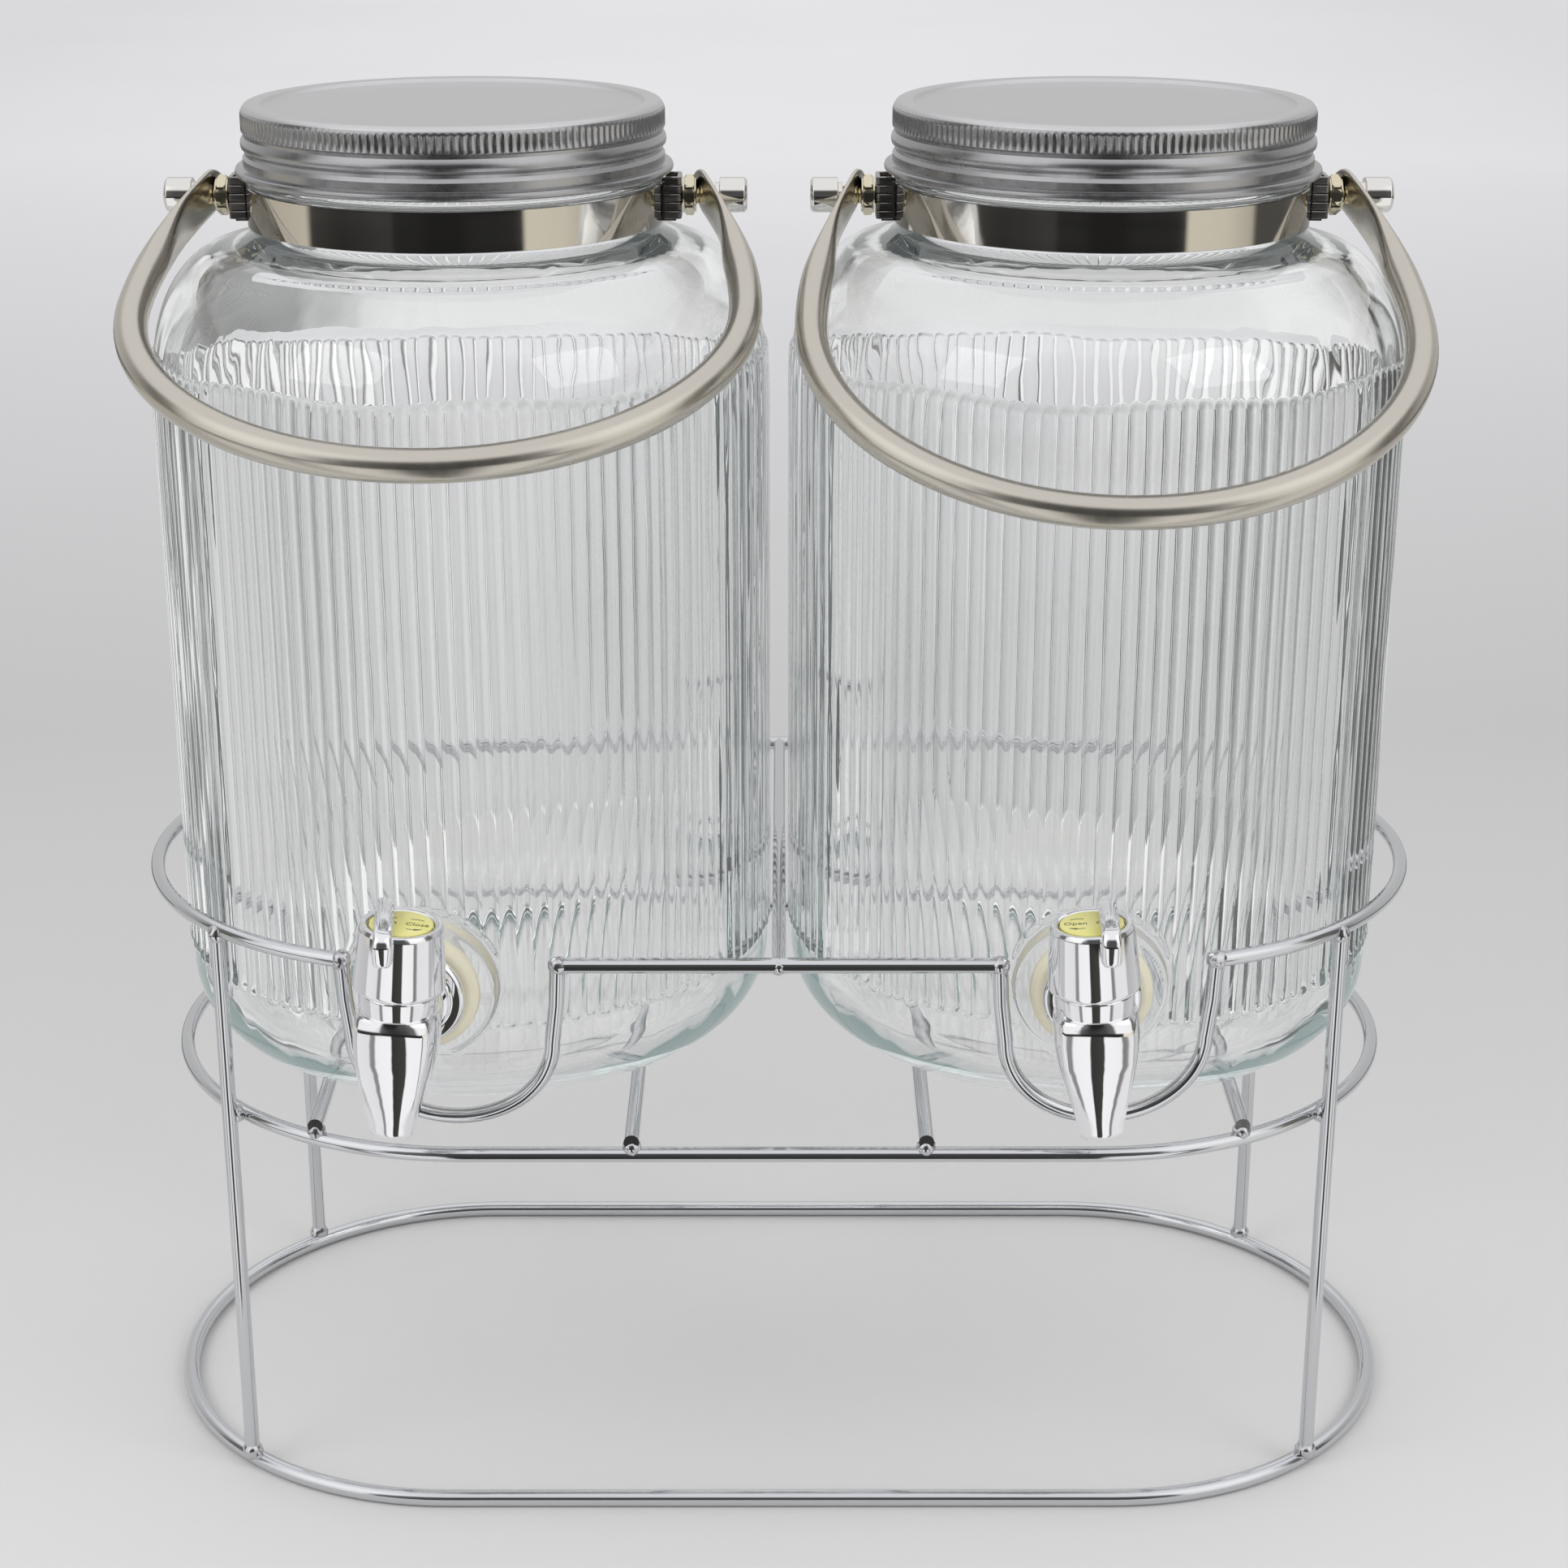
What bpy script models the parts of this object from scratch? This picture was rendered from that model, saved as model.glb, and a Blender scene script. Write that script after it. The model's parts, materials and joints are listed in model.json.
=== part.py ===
# Double beverage dispenser: two ribbed glass jars with screw lids, tube handles and taps in a wire stand.
# Metres, +Z up, +X to the right, the taps face -Y. The origin is on the floor, under the whole's middle.

import bpy
import bmesh
from math import asin, atan2, cos, pi, radians, sin, sqrt
from mathutils import Vector

MM = 0.001

# Clearances shared by all pieces
SEAT_GAP = 0.3 * MM
RUNNING_GAP = 0.3 * MM
CUT_OVERRUN = 1.0 * MM

# Stand: three horizontal wires, legs and cross wires. The guard rail goes round both jars
WIRE_RADIUS = 2.0 * MM
BASE_WIRE_RADIUS = 2.25 * MM
DIVIDER_WIRE_RADIUS = 1.75 * MM
RAIL_END_CLEARANCE = 5.4 * MM
RAIL_SIDE_CLEARANCE = 2.9 * MM
BASE_END_OVERHANG = 1.5 * MM
BASE_SIDE_INSET = 3.0 * MM
SHELF_END_INSET = 4.5 * MM
SHELF_SIDE_INSET = 0.5 * MM
SHELF_HEIGHT = 106.0 * MM
RAIL_RISE = 52.7 * MM
LEG_ANGLE = radians(44.5)
OUTER_CROSS_WIRE_OFFSET = 37.0 * MM
INNER_CROSS_WIRE_OFFSET = 44.9 * MM
NOTCH_SIDE_CLEARANCE = 11.8 * MM
NOTCH_TAPER = 1.8 * MM
NOTCH_BEND_DROP = 20.7 * MM
NOTCH_DROP = 42.3 * MM

# Jars
JAR_RADIUS = 80.1 * MM
GAP_BETWEEN_JARS = 4.8 * MM
JAR_WALL = 4.0 * MM
JAR_FLOOR = 5.0 * MM
RIB_COUNT = 120
RIB_DEPTH = 0.7 * MM
RIB_RUN_IN = 6.0 * MM
RIB_RUN_OUT = 10.6 * MM
PUSH_UP = 2.0 * MM
FOOT_WIDTH = 4.0 * MM
FOOT_SLOPE = 6.0 * MM
BASE_CORNER = 20.0 * MM
SHOULDER_START = 177.4 * MM
SHOULDER_RISE = 37.0 * MM
SHOULDER_WIDTH = 28.1 * MM
SHOULDER_ROOT_WIDTH = 3.0 * MM
SHOULDER_POWER = 2.2
NECK_HEIGHT = 14.0 * MM
NECK_FILLET = 2.1 * MM
NECK_WALL = 5.5 * MM
GLASS_BEAD_PROUD = 1.2 * MM
GLASS_BEAD_HEIGHT = 1.9 * MM
GLASS_BEAD_FILLET = 0.3 * MM
FINISH_INSET = 1.2 * MM
FINISH_ROOT_RISE = 3.2 * MM
FINISH_RISE = 15.0 * MM
THREAD_RISE = 11.0 * MM
THREAD_DEPTH = 1.1 * MM
THREAD_HALF_WIDTH = 1.7 * MM

# Tap boss on the glass
BOSS_RADIUS = 18.5 * MM
BOSS_DRAFT = 1.0 * MM
BOSS_PROUD = 1.1 * MM
PAD_PROUD = 1.1 * MM
TAP_RISE = 37.9 * MM
LEFT_TAP_ANGLE = radians(-5.6)
RIGHT_TAP_ANGLE = radians(-2.75)
LEFT_TAP_ROLL = radians(4.4)
RIGHT_TAP_ROLL = radians(-4.2)
LEFT_KNOB_TURN = radians(190.5)
RIGHT_KNOB_TURN = radians(0)

# Lids: steps in radius from the skirt, and steps in height from the lower edge to the top
LID_LIFT_OFF_GLASS = 2.2 * MM
LID_SHEET = 0.55 * MM
LID_THREAD_ROOM = 2.7 * MM
LID_CURL_WIDTH = 2.1 * MM
LID_CURL_HEIGHT = 2.0 * MM
LID_SKIRT_RISE = 2.2 * MM
LID_GROOVE_DEPTH = 0.6 * MM
LID_GROOVE_RISE = 1.1 * MM
LID_BEAD_PROUD = 0.4 * MM
LID_BEAD_RISE = 2.5 * MM
LID_WAIST_DEPTH = 0.4 * MM
LID_WAIST_RISE = 2.2 * MM
LID_KNURL_PROUD = 0.1 * MM
LID_KNURL_RISE = 1.0 * MM
LID_KNURL_HEIGHT = 4.5 * MM
LID_RIM_INSET = 1.4 * MM
LID_RIM_RISE = 1.9 * MM
LID_RIM_WIDTH = 3.4 * MM
LID_PANEL_STEP = 1.0 * MM
LID_PANEL_DROP = 1.2 * MM
LINER_INSET = 2.3 * MM

# Neck bands, clips and pivots: each distance runs outward from the piece before it
BAND_DROP = 10.4 * MM
BAND_HEIGHT = 10.0 * MM
BAND_SHEET = 0.8 * MM
FLANGE_HALF_GAP = 3.0 * MM
FLANGE_LENGTH = 3.2 * MM
CLIP_HEIGHT = 10.8 * MM
CLIP_WALL = 1.1 * MM
PIVOT_RISE = 6.1 * MM
BOLT_RADIUS = 2.4 * MM
BOLT_HOLE_CLEARANCE = 0.4 * MM
BOLT_HEAD_THICKNESS = 2.1 * MM
BOLT_HEAD_HALF_HEIGHT = 4.2 * MM
JAM_NUT_THICKNESS = 2.4 * MM
JAM_NUT_CORNER_RADIUS = 5.2 * MM
EAR_STANDOFF = 3.4 * MM
CAP_NUT_STANDOFF = 2.4 * MM
BOLT_IN_CAP_NUT = 6.8 * MM
CAP_NUT_LENGTH = 8.2 * MM
CAP_NUT_COLLAR = 1.2 * MM
CAP_NUT_COLLAR_RADIUS = 3.2 * MM
CAP_NUT_RADIUS = 4.5 * MM
CAP_NUT_CHAMFER = 0.7 * MM

# Bails; reach is measured from the pivot axis in the handle's own plane
BAIL_TUBE_RADIUS = 4.1 * MM
BAIL_INSET = 5.6 * MM
BAIL_OVERREACH = 35.4 * MM
BAIL_BOW_DEPTH = 63.5 * MM
BAIL_EAR_POWER = 1.85
EAR_HALF_THICKNESS = 0.9 * MM
EAR_HALF_WIDTH = 6.0 * MM
EAR_END = 6.8 * MM
EAR_FLAT_REACH = 8.0 * MM
EAR_BLEND_LENGTH = 26.0 * MM
LEFT_BAIL_DROP = radians(23.0)
RIGHT_BAIL_DROP = radians(30.0)

# Taps; the tap's own frame has its origin where the shank's axis meets the barrel's, +Y to the jar
BARREL_STANDOFF = 25.8 * MM
CHAMBER_RADIUS = 6.4 * MM
CHAMBER_TOP = 17.0 * MM
CHAMBER_FLOOR = -6.0 * MM
BONNET_WALL = 2.8 * MM
COLLAR_PROUD = 0.45 * MM
COLLAR_TOP = 11.7 * MM
COLLAR_BOTTOM = 7.0 * MM
SPOUT_TIP = -26.5 * MM
SPOUT_BORE_RADIUS = 3.4 * MM
SPOUT_CEILING = 3.5 * MM
PORT_RADIUS = 1.7 * MM
INLET_RADIUS = 4.2 * MM
SHANK_RADIUS = 8.0 * MM
SHANK_PROUD = 1.5 * MM
SHANK_NECK_STEP = 0.8 * MM
TAP_HOLE_CLEARANCE = 0.5 * MM
WASHER_CLEARANCE = 0.4 * MM
FLANGE_RADIUS = 12.5 * MM
FLANGE_THICKNESS = 2.9 * MM
FLANGE_BEVEL = 1.2 * MM
OUTER_WASHER_RADIUS = 15.5 * MM
OUTER_WASHER_STEP = 1.6 * MM
OUTER_WASHER_RIM = 1.5 * MM
INNER_WASHER_RADIUS = 12.0 * MM
INNER_WASHER_THICKNESS = 2.5 * MM
TAP_NUT_CORNER_RADIUS = 12.8 * MM
TAP_NUT_THICKNESS = 5.9 * MM

# Knob, rotor and disc; heights are above the shank's axis
KNOB_BOTTOM = 12.0 * MM
KNOB_HEIGHT = 17.0 * MM
KNOB_CLEARANCE = 0.75 * MM
KNOB_WALL = 1.4 * MM
KNOB_DRAFT = 1.05 * MM
KNOB_LIP = 0.8 * MM
KNOB_RIM_ROUND = 1.2 * MM
KNOB_WEB = 1.7 * MM
RECESS_RIM = 2.3 * MM
RECESS_DEPTH = 1.3 * MM
HUB_WALL = 0.55 * MM
POST_RADIUS = 1.6 * MM
POST_SOCKET_DEPTH = 2.0 * MM
DISC_THICKNESS = 0.7 * MM
TANG_SIDE = 7.0 * MM
TANG_LENGTH = 6.8 * MM
TANG_HEADROOM = 0.4 * MM
ROTOR_SHOULDER = 11.0 * MM
GROOVE_BOTTOM = 7.0 * MM
GROOVE_WIDTH = 2.0 * MM
GROOVE_DEPTH = 1.5 * MM
ORING_WIRE_RADIUS = 0.6 * MM
POCKET_HALF_WIDTH = 2.8 * MM
POCKET_START = 2.5 * MM
POCKET_TOP = 4.2 * MM
LEVER_OFFSET = 4.1 * MM
LEVER_WIDTH = 4.7 * MM
LEVER_RISE = 3.5 * MM
LEVER_CREST_OFFSET = 2.0 * MM
LEVER_TIP_DROP = 7.8 * MM
LEVER_OVERHANG = 2.5 * MM
LEVER_DISC_GAP = 0.4 * MM
LEVER_BEVEL = 0.9 * MM

# Facets
WIRE_SIDES = 8
RING_STEPS = 12
JAR_SIDES = 40
LID_SIDES = 32
LINER_SIDES = 32
BAND_STEPS = 16
BAIL_SIDES = 10
BAIL_BEND_STEPS = 14
BAIL_ARM_STEPS = 7
TAP_SIDES = 20
FASTENER_SIDES = 12
TAP_NUT_BORE_SIDES = 24
HEXAGON = 6
SQUARE = 4
ORING_SIDES = 6
FOOT_STEPS = 3
INNER_CORNER_STEPS = 2
SHARP_ANGLE = radians(30)

# Derived sizes of the stand
JAR_SPACING = 2 * JAR_RADIUS + GAP_BETWEEN_JARS
JAR_X = JAR_SPACING / 2
RAIL_HALF_LENGTH = JAR_X + JAR_RADIUS + RAIL_END_CLEARANCE + WIRE_RADIUS
RAIL_HALF_WIDTH = JAR_RADIUS + RAIL_SIDE_CLEARANCE + WIRE_RADIUS
RAIL_HEIGHT = SHELF_HEIGHT + RAIL_RISE
BASE_HALF_LENGTH = RAIL_HALF_LENGTH + BASE_END_OVERHANG
BASE_HALF_WIDTH = RAIL_HALF_WIDTH - BASE_SIDE_INSET
SHELF_HALF_LENGTH = RAIL_HALF_LENGTH - SHELF_END_INSET
SHELF_HALF_WIDTH = RAIL_HALF_WIDTH - SHELF_SIDE_INSET
OUTER_CROSS_WIRE_X = JAR_X + OUTER_CROSS_WIRE_OFFSET
INNER_CROSS_WIRE_X = JAR_X - INNER_CROSS_WIRE_OFFSET
NOTCH_TOP_HALF_WIDTH = OUTER_WASHER_RADIUS + NOTCH_SIDE_CLEARANCE
NOTCH_BEND_HALF_WIDTH = NOTCH_TOP_HALF_WIDTH - NOTCH_TAPER
NOTCH_BEND_HEIGHT = RAIL_HEIGHT - NOTCH_BEND_DROP
NOTCH_BOTTOM_HEIGHT = RAIL_HEIGHT - NOTCH_DROP
WIRE_TOP = SHELF_HEIGHT + WIRE_RADIUS
CROSS_WIRE_HEIGHT = WIRE_TOP + SEAT_GAP + WIRE_RADIUS

# Derived sizes of the jars; heights are above the jar's base
JAR_BASE = CROSS_WIRE_HEIGHT + WIRE_RADIUS + SEAT_GAP
SMOOTH_RADIUS = JAR_RADIUS - RIB_DEPTH
INNER_RADIUS = JAR_RADIUS - JAR_WALL
RIB_BOTTOM = BASE_CORNER + RIB_RUN_IN
RIB_TOP = SHOULDER_START + RIB_RUN_OUT
SHOULDER_TOP = SHOULDER_START + SHOULDER_RISE
NECK_RADIUS = JAR_RADIUS - SHOULDER_WIDTH
SHOULDER_ROOT_RADIUS = NECK_RADIUS + SHOULDER_ROOT_WIDTH
NECK_BORE_RADIUS = NECK_RADIUS - NECK_WALL
NECK_TOP = SHOULDER_TOP + NECK_HEIGHT
GLASS_BEAD_RADIUS = NECK_RADIUS + GLASS_BEAD_PROUD
FINISH_RADIUS = NECK_RADIUS - FINISH_INSET
FINISH_ROOT = NECK_TOP + FINISH_ROOT_RISE
FINISH_TOP = NECK_TOP + FINISH_RISE
THREAD_HEIGHT = NECK_TOP + THREAD_RISE
BOSS_FACE = JAR_RADIUS + BOSS_PROUD
BOSS_PAD = INNER_RADIUS - PAD_PROUD
TAP_HEIGHT = JAR_BASE + TAP_RISE

# Derived sizes of the lids; heights are above the lid's lower edge
LID_BASE = NECK_TOP + LID_LIFT_OFF_GLASS
LID_SKIRT_RADIUS = FINISH_RADIUS + LID_THREAD_ROOM
LID_SKIRT_TOP = LID_CURL_HEIGHT + LID_SKIRT_RISE
LID_CURL_RADIUS = LID_SKIRT_RADIUS + LID_CURL_WIDTH
LID_GROOVE_RADIUS = LID_SKIRT_RADIUS - LID_GROOVE_DEPTH
LID_GROOVE_HEIGHT = LID_SKIRT_TOP + LID_GROOVE_RISE
LID_BEAD_RADIUS = LID_SKIRT_RADIUS + LID_BEAD_PROUD
LID_BEAD_HEIGHT = LID_GROOVE_HEIGHT + LID_BEAD_RISE
LID_WAIST_RADIUS = LID_SKIRT_RADIUS - LID_WAIST_DEPTH
LID_WAIST_HEIGHT = LID_BEAD_HEIGHT + LID_WAIST_RISE
LID_KNURL_RADIUS = LID_SKIRT_RADIUS + LID_KNURL_PROUD
LID_KNURL_BOTTOM = LID_WAIST_HEIGHT + LID_KNURL_RISE
LID_KNURL_TOP = LID_KNURL_BOTTOM + LID_KNURL_HEIGHT
LID_TOP = LID_KNURL_TOP + LID_RIM_RISE
LID_RIM_OUTER_RADIUS = LID_KNURL_RADIUS - LID_RIM_INSET
LID_RIM_INNER_RADIUS = LID_RIM_OUTER_RADIUS - LID_RIM_WIDTH
LID_PANEL_RADIUS = LID_RIM_INNER_RADIUS - LID_PANEL_STEP
LID_PANEL_HEIGHT = LID_TOP - LID_PANEL_DROP
LINER_RADIUS = LID_KNURL_RADIUS - LINER_INSET

# Derived sizes of the bands, pivots and bails
BAND_BOTTOM = NECK_TOP - BAND_DROP
BAND_INNER_RADIUS = NECK_RADIUS + SEAT_GAP
BAND_OUTER_RADIUS = BAND_INNER_RADIUS + BAND_SHEET
PIVOT_HEIGHT = BAND_BOTTOM + PIVOT_RISE
FLANGE_REACH = BAND_OUTER_RADIUS + FLANGE_LENGTH
CLIP_START = BAND_OUTER_RADIUS + SEAT_GAP
CLIP_END = FLANGE_REACH + SEAT_GAP + CLIP_WALL
CLIP_POCKET_HALF = FLANGE_HALF_GAP + BAND_SHEET + SEAT_GAP
BOLT_HOLE_RADIUS = BOLT_RADIUS + BOLT_HOLE_CLEARANCE
JAM_NUT_START = CLIP_END + SEAT_GAP
JAM_NUT_END = JAM_NUT_START + JAM_NUT_THICKNESS
BAIL_EAR_X = JAM_NUT_END + EAR_STANDOFF
CAP_NUT_START = BAIL_EAR_X + CAP_NUT_STANDOFF
CAP_NUT_END = CAP_NUT_START + CAP_NUT_LENGTH
BOLT_END = CAP_NUT_START + BOLT_IN_CAP_NUT
BAIL_HALF_WIDTH = JAR_RADIUS - BAIL_INSET
BAIL_REACH = JAR_RADIUS + BAIL_OVERREACH
BAIL_WIDEST_REACH = BAIL_REACH - BAIL_BOW_DEPTH

# Derived sizes of the taps
BARREL_DISTANCE = BOSS_FACE + BARREL_STANDOFF
BOSS_PLANE = BARREL_DISTANCE - BOSS_FACE
PAD_PLANE = BARREL_DISTANCE - BOSS_PAD
INNER_WASHER_START = PAD_PLANE + SEAT_GAP
INNER_WASHER_END = INNER_WASHER_START + INNER_WASHER_THICKNESS
TAP_NUT_START = INNER_WASHER_END + SEAT_GAP
TAP_NUT_END = TAP_NUT_START + TAP_NUT_THICKNESS
SHANK_END = TAP_NUT_END + SHANK_PROUD
SHANK_NECK_RADIUS = SHANK_RADIUS + SHANK_NECK_STEP
TAP_HOLE_RADIUS = SHANK_RADIUS + TAP_HOLE_CLEARANCE
WASHER_BORE_RADIUS = SHANK_RADIUS + WASHER_CLEARANCE
OUTER_WASHER_STEP_RADIUS = OUTER_WASHER_RADIUS - OUTER_WASHER_STEP
BONNET_RADIUS = CHAMBER_RADIUS + BONNET_WALL
COLLAR_RADIUS = BONNET_RADIUS + COLLAR_PROUD
SPOUT_BORE_TOP = CHAMBER_FLOOR - SPOUT_CEILING
KNOB_TOP = KNOB_BOTTOM + KNOB_HEIGHT
KNOB_BOTTOM_RADIUS = BONNET_RADIUS + KNOB_CLEARANCE + KNOB_WALL
KNOB_TOP_RADIUS = KNOB_BOTTOM_RADIUS - KNOB_DRAFT
RECESS_RADIUS = KNOB_TOP_RADIUS - RECESS_RIM
RECESS_FLOOR = KNOB_TOP - RECESS_DEPTH
KNOB_WEB_BOTTOM = RECESS_FLOOR - KNOB_WEB
TANG_TOP = ROTOR_SHOULDER + TANG_LENGTH
SOCKET_TOP = TANG_TOP + TANG_HEADROOM
HUB_RADIUS = TANG_SIDE / sqrt(2) + HUB_WALL
DISC_POST_END = CHAMBER_FLOOR - POST_SOCKET_DEPTH
GROOVE_TOP = GROOVE_BOTTOM + GROOVE_WIDTH
POST_HOLE_RADIUS = POST_RADIUS + RUNNING_GAP
ROTOR_RADIUS = CHAMBER_RADIUS - RUNNING_GAP
GROOVE_RADIUS = ROTOR_RADIUS - GROOVE_DEPTH
DISC_RADIUS = RECESS_RADIUS - RUNNING_GAP

# The stand stands back so that the whole is centred from front to back
FRONT_REACH = BARREL_DISTANCE + KNOB_TOP_RADIUS + LEVER_OVERHANG
REAR_REACH = RAIL_HALF_WIDTH + WIRE_RADIUS
STAND_SET_BACK = (FRONT_REACH - REAR_REACH) / 2


def clear_scene():
    for item in list(bpy.data.objects):
        bpy.data.objects.remove(item, do_unlink=True)


def make_material(name, colour, metallic, roughness, transmission=0.0):
    material = bpy.data.materials.new(name)
    material.use_nodes = True
    shader = material.node_tree.nodes["Principled BSDF"]
    shader.inputs["Base Color"].default_value = (*colour, 1.0)
    shader.inputs["Metallic"].default_value = metallic
    shader.inputs["Roughness"].default_value = roughness
    shader.inputs["Transmission Weight"].default_value = transmission
    return material


def make_materials():
    return {
        "chrome": make_material("chromed_wire", (0.62, 0.62, 0.64), 1.0, 0.12),
        "glass": make_material("clear_glass", (0.93, 0.96, 0.95), 0.0, 0.03, 1.0),
        "lid": make_material("satin_lid", (0.60, 0.60, 0.60), 1.0, 0.35),
        "liner": make_material("white_liner", (0.85, 0.85, 0.83), 0.0, 0.6),
        "polished": make_material("polished_steel", (0.55, 0.54, 0.52), 1.0, 0.08),
        "satin": make_material("satin_steel", (0.52, 0.49, 0.45), 1.0, 0.3),
        "plated": make_material("plated_plastic", (0.72, 0.72, 0.74), 1.0, 0.05),
        "plastic": make_material("white_plastic", (0.80, 0.80, 0.78), 0.0, 0.4),
        "yellow": make_material("yellow_disc", (0.80, 0.74, 0.28), 0.0, 0.45),
        "silicone": make_material("pale_silicone", (0.78, 0.75, 0.60), 0.0, 0.5),
        "rubber": make_material("black_rubber", (0.03, 0.03, 0.03), 0.0, 0.7),
    }


def place(name, mesh_source, material, parent=None, location=(0, 0, 0), rotation=(0, 0, 0)):
    mesh = bpy.data.meshes.new(name)
    bmesh.ops.recalc_face_normals(mesh_source, faces=mesh_source.faces)
    mesh_source.to_mesh(mesh)
    mesh_source.free()
    mesh.materials.append(material)
    mesh.shade_smooth()
    mesh.set_sharp_from_angle(angle=SHARP_ANGLE)
    item = bpy.data.objects.new(name, mesh)
    bpy.context.scene.collection.objects.link(item)
    item.parent = parent
    item.location = location
    item.rotation_euler = rotation
    return item


def frame_empty(name, location, rotation=(0, 0, 0), parent=None):
    item = bpy.data.objects.new(name, None)
    bpy.context.scene.collection.objects.link(item)
    item.parent = parent
    item.location = location
    item.rotation_euler = rotation
    return item


def combine(item, tool_mesh, operation, location=(0, 0, 0), rotation=(0, 0, 0)):
    """Cuts a shape out of an object, or joins one to it; the tool is given in the object's own frame."""
    tool_name = "%s_tool_%d" % (item.name, len(item.modifiers) + 1)
    tool = place(tool_name, tool_mesh, item.data.materials[0], item, location, rotation)
    tool.hide_render = True
    tool.display_type = "WIRE"
    modifier = item.modifiers.new(tool_name, "BOOLEAN")
    modifier.operation = operation
    modifier.solver = "EXACT"
    modifier.object = tool


def ring(bm, points):
    return [bm.verts.new(point) for point in points]


def bridge(bm, first, second):
    """Joins two rings; one may have a whole number of times as many points as the other, or be one point."""
    if len(first) < len(second):
        first, second = second, first
    count = len(first)
    share = count // len(second)
    for index in range(count):
        following = (index + 1) % count
        near = second[index // share]
        far = second[(following // share) % len(second)]
        if share == 1 and near is not far:
            bm.faces.new((first[index], first[following], far, near))
            continue
        middle = share // 2
        corner = near if index % share < middle or near is far else far
        bm.faces.new((first[index], first[following], corner))
        if near is not far and index % share == share - 1:
            bm.faces.new((first[index], far, near))


def circle_points(radius, height, sides, phase=0.0):
    steps = [2 * pi * (index + phase) / sides for index in range(sides)]
    return [Vector((radius * cos(angle), radius * sin(angle), height)) for angle in steps]


def turned(profile, sides, closed=True, phase=0.0):
    """Turns a list of (radius, height) round Z; a radius of 0 is a pole. A profile entry may carry its own
    number of sides. A closed profile joins its last ring to its first."""
    bm = bmesh.new()
    rings = []
    for entry in profile:
        radius, height = entry[0], entry[1]
        own_sides = entry[2] if len(entry) > 2 else sides
        if radius == 0:
            rings.append([bm.verts.new((0, 0, height))])
        else:
            rings.append(ring(bm, circle_points(radius, height, own_sides, phase * own_sides)))
    pairs = list(zip(rings, rings[1:]))
    if closed:
        pairs.append((rings[-1], rings[0]))
    for first, second in pairs:
        bridge(bm, first, second)
    return bm


def oriented(bm, axis):
    """Turns a mesh made round Z so that its +Z points along an axis."""
    turn = Vector((0, 0, 1)).rotation_difference(Vector(axis)).to_matrix()
    bmesh.ops.rotate(bm, verts=bm.verts, cent=(0, 0, 0), matrix=turn)
    return bm


def moved(bm, offset):
    bmesh.ops.translate(bm, verts=bm.verts, vec=offset)
    return bm


def cylinder(radius, low, high, sides):
    return turned([(0, low), (radius, low), (radius, high), (0, high)], sides, closed=False)


def cuboid(low, high):
    bm = bmesh.new()
    bmesh.ops.create_cube(bm, size=1.0)
    size = [top - bottom for bottom, top in zip(low, high)]
    centre = [(top + bottom) / 2 for bottom, top in zip(low, high)]
    bmesh.ops.scale(bm, verts=bm.verts, vec=size)
    return moved(bm, centre)


def extruded(outline, low, high):
    """Extrudes a closed outline in X and Y from one height to another."""
    bm = bmesh.new()
    bottom = ring(bm, [Vector((x, y, low)) for x, y in outline])
    top = ring(bm, [Vector((x, y, high)) for x, y in outline])
    bridge(bm, bottom, top)
    bm.faces.new(bottom)
    bm.faces.new(top)
    return bm


def swept(path, plane_normal, radius, closed):
    """Sweeps a wire's section along a flat path, with a flat facet square to the path's plane."""
    bm = bmesh.new()
    normal = Vector(plane_normal)
    rings = []
    for index, point in enumerate(path):
        before = path[index - 1] if index or closed else point
        after = path[(index + 1) % len(path)] if index + 1 < len(path) or closed else point
        side = (after - before).normalized().cross(normal).normalized()
        section = []
        for step in range(WIRE_SIDES):
            angle = 2 * pi * (step + 0.5) / WIRE_SIDES
            section.append(point + radius * (side * cos(angle) + normal * sin(angle)))
        rings.append(ring(bm, section))
    for first, second in zip(rings, rings[1:]):
        bridge(bm, first, second)
    if closed:
        bridge(bm, rings[-1], rings[0])
    else:
        bm.faces.new(rings[0])
        bm.faces.new(rings[-1])
    return bm


def arc(centre_x, radius, height, start, end, steps):
    """Points round a vertical axis; an angle of 0 points to the front and a quarter turn to the left."""
    angles = [start + (end - start) * index / steps for index in range(steps + 1)]
    return [Vector((centre_x - radius * sin(a), -radius * cos(a), height)) for a in angles]


def oval(half_length, half_width, height):
    centre = half_length - half_width
    left = arc(-centre, half_width, height, 0, pi, RING_STEPS)
    right = arc(centre, half_width, height, pi, 2 * pi, RING_STEPS)
    return left + right


def straight_wire(name, start, end, radius, material, stand):
    direction = Vector(end) - Vector(start)
    normal = Vector((0, 0, 1)) if abs(direction.z) < direction.length / 2 else Vector((0, 1, 0))
    place(name, swept([Vector(start), Vector(end)], normal, radius, False), material, stand)


def build_rings(stand, chrome):
    base = swept(oval(BASE_HALF_LENGTH, BASE_HALF_WIDTH, BASE_WIRE_RADIUS * cos(pi / WIRE_SIDES)),
                 (0, 0, 1), BASE_WIRE_RADIUS, True)
    place("base_ring", base, chrome, stand)
    shelf = swept(oval(SHELF_HALF_LENGTH, SHELF_HALF_WIDTH, SHELF_HEIGHT), (0, 0, 1), WIRE_RADIUS, True)
    place("shelf_ring", shelf, chrome, stand)


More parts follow.
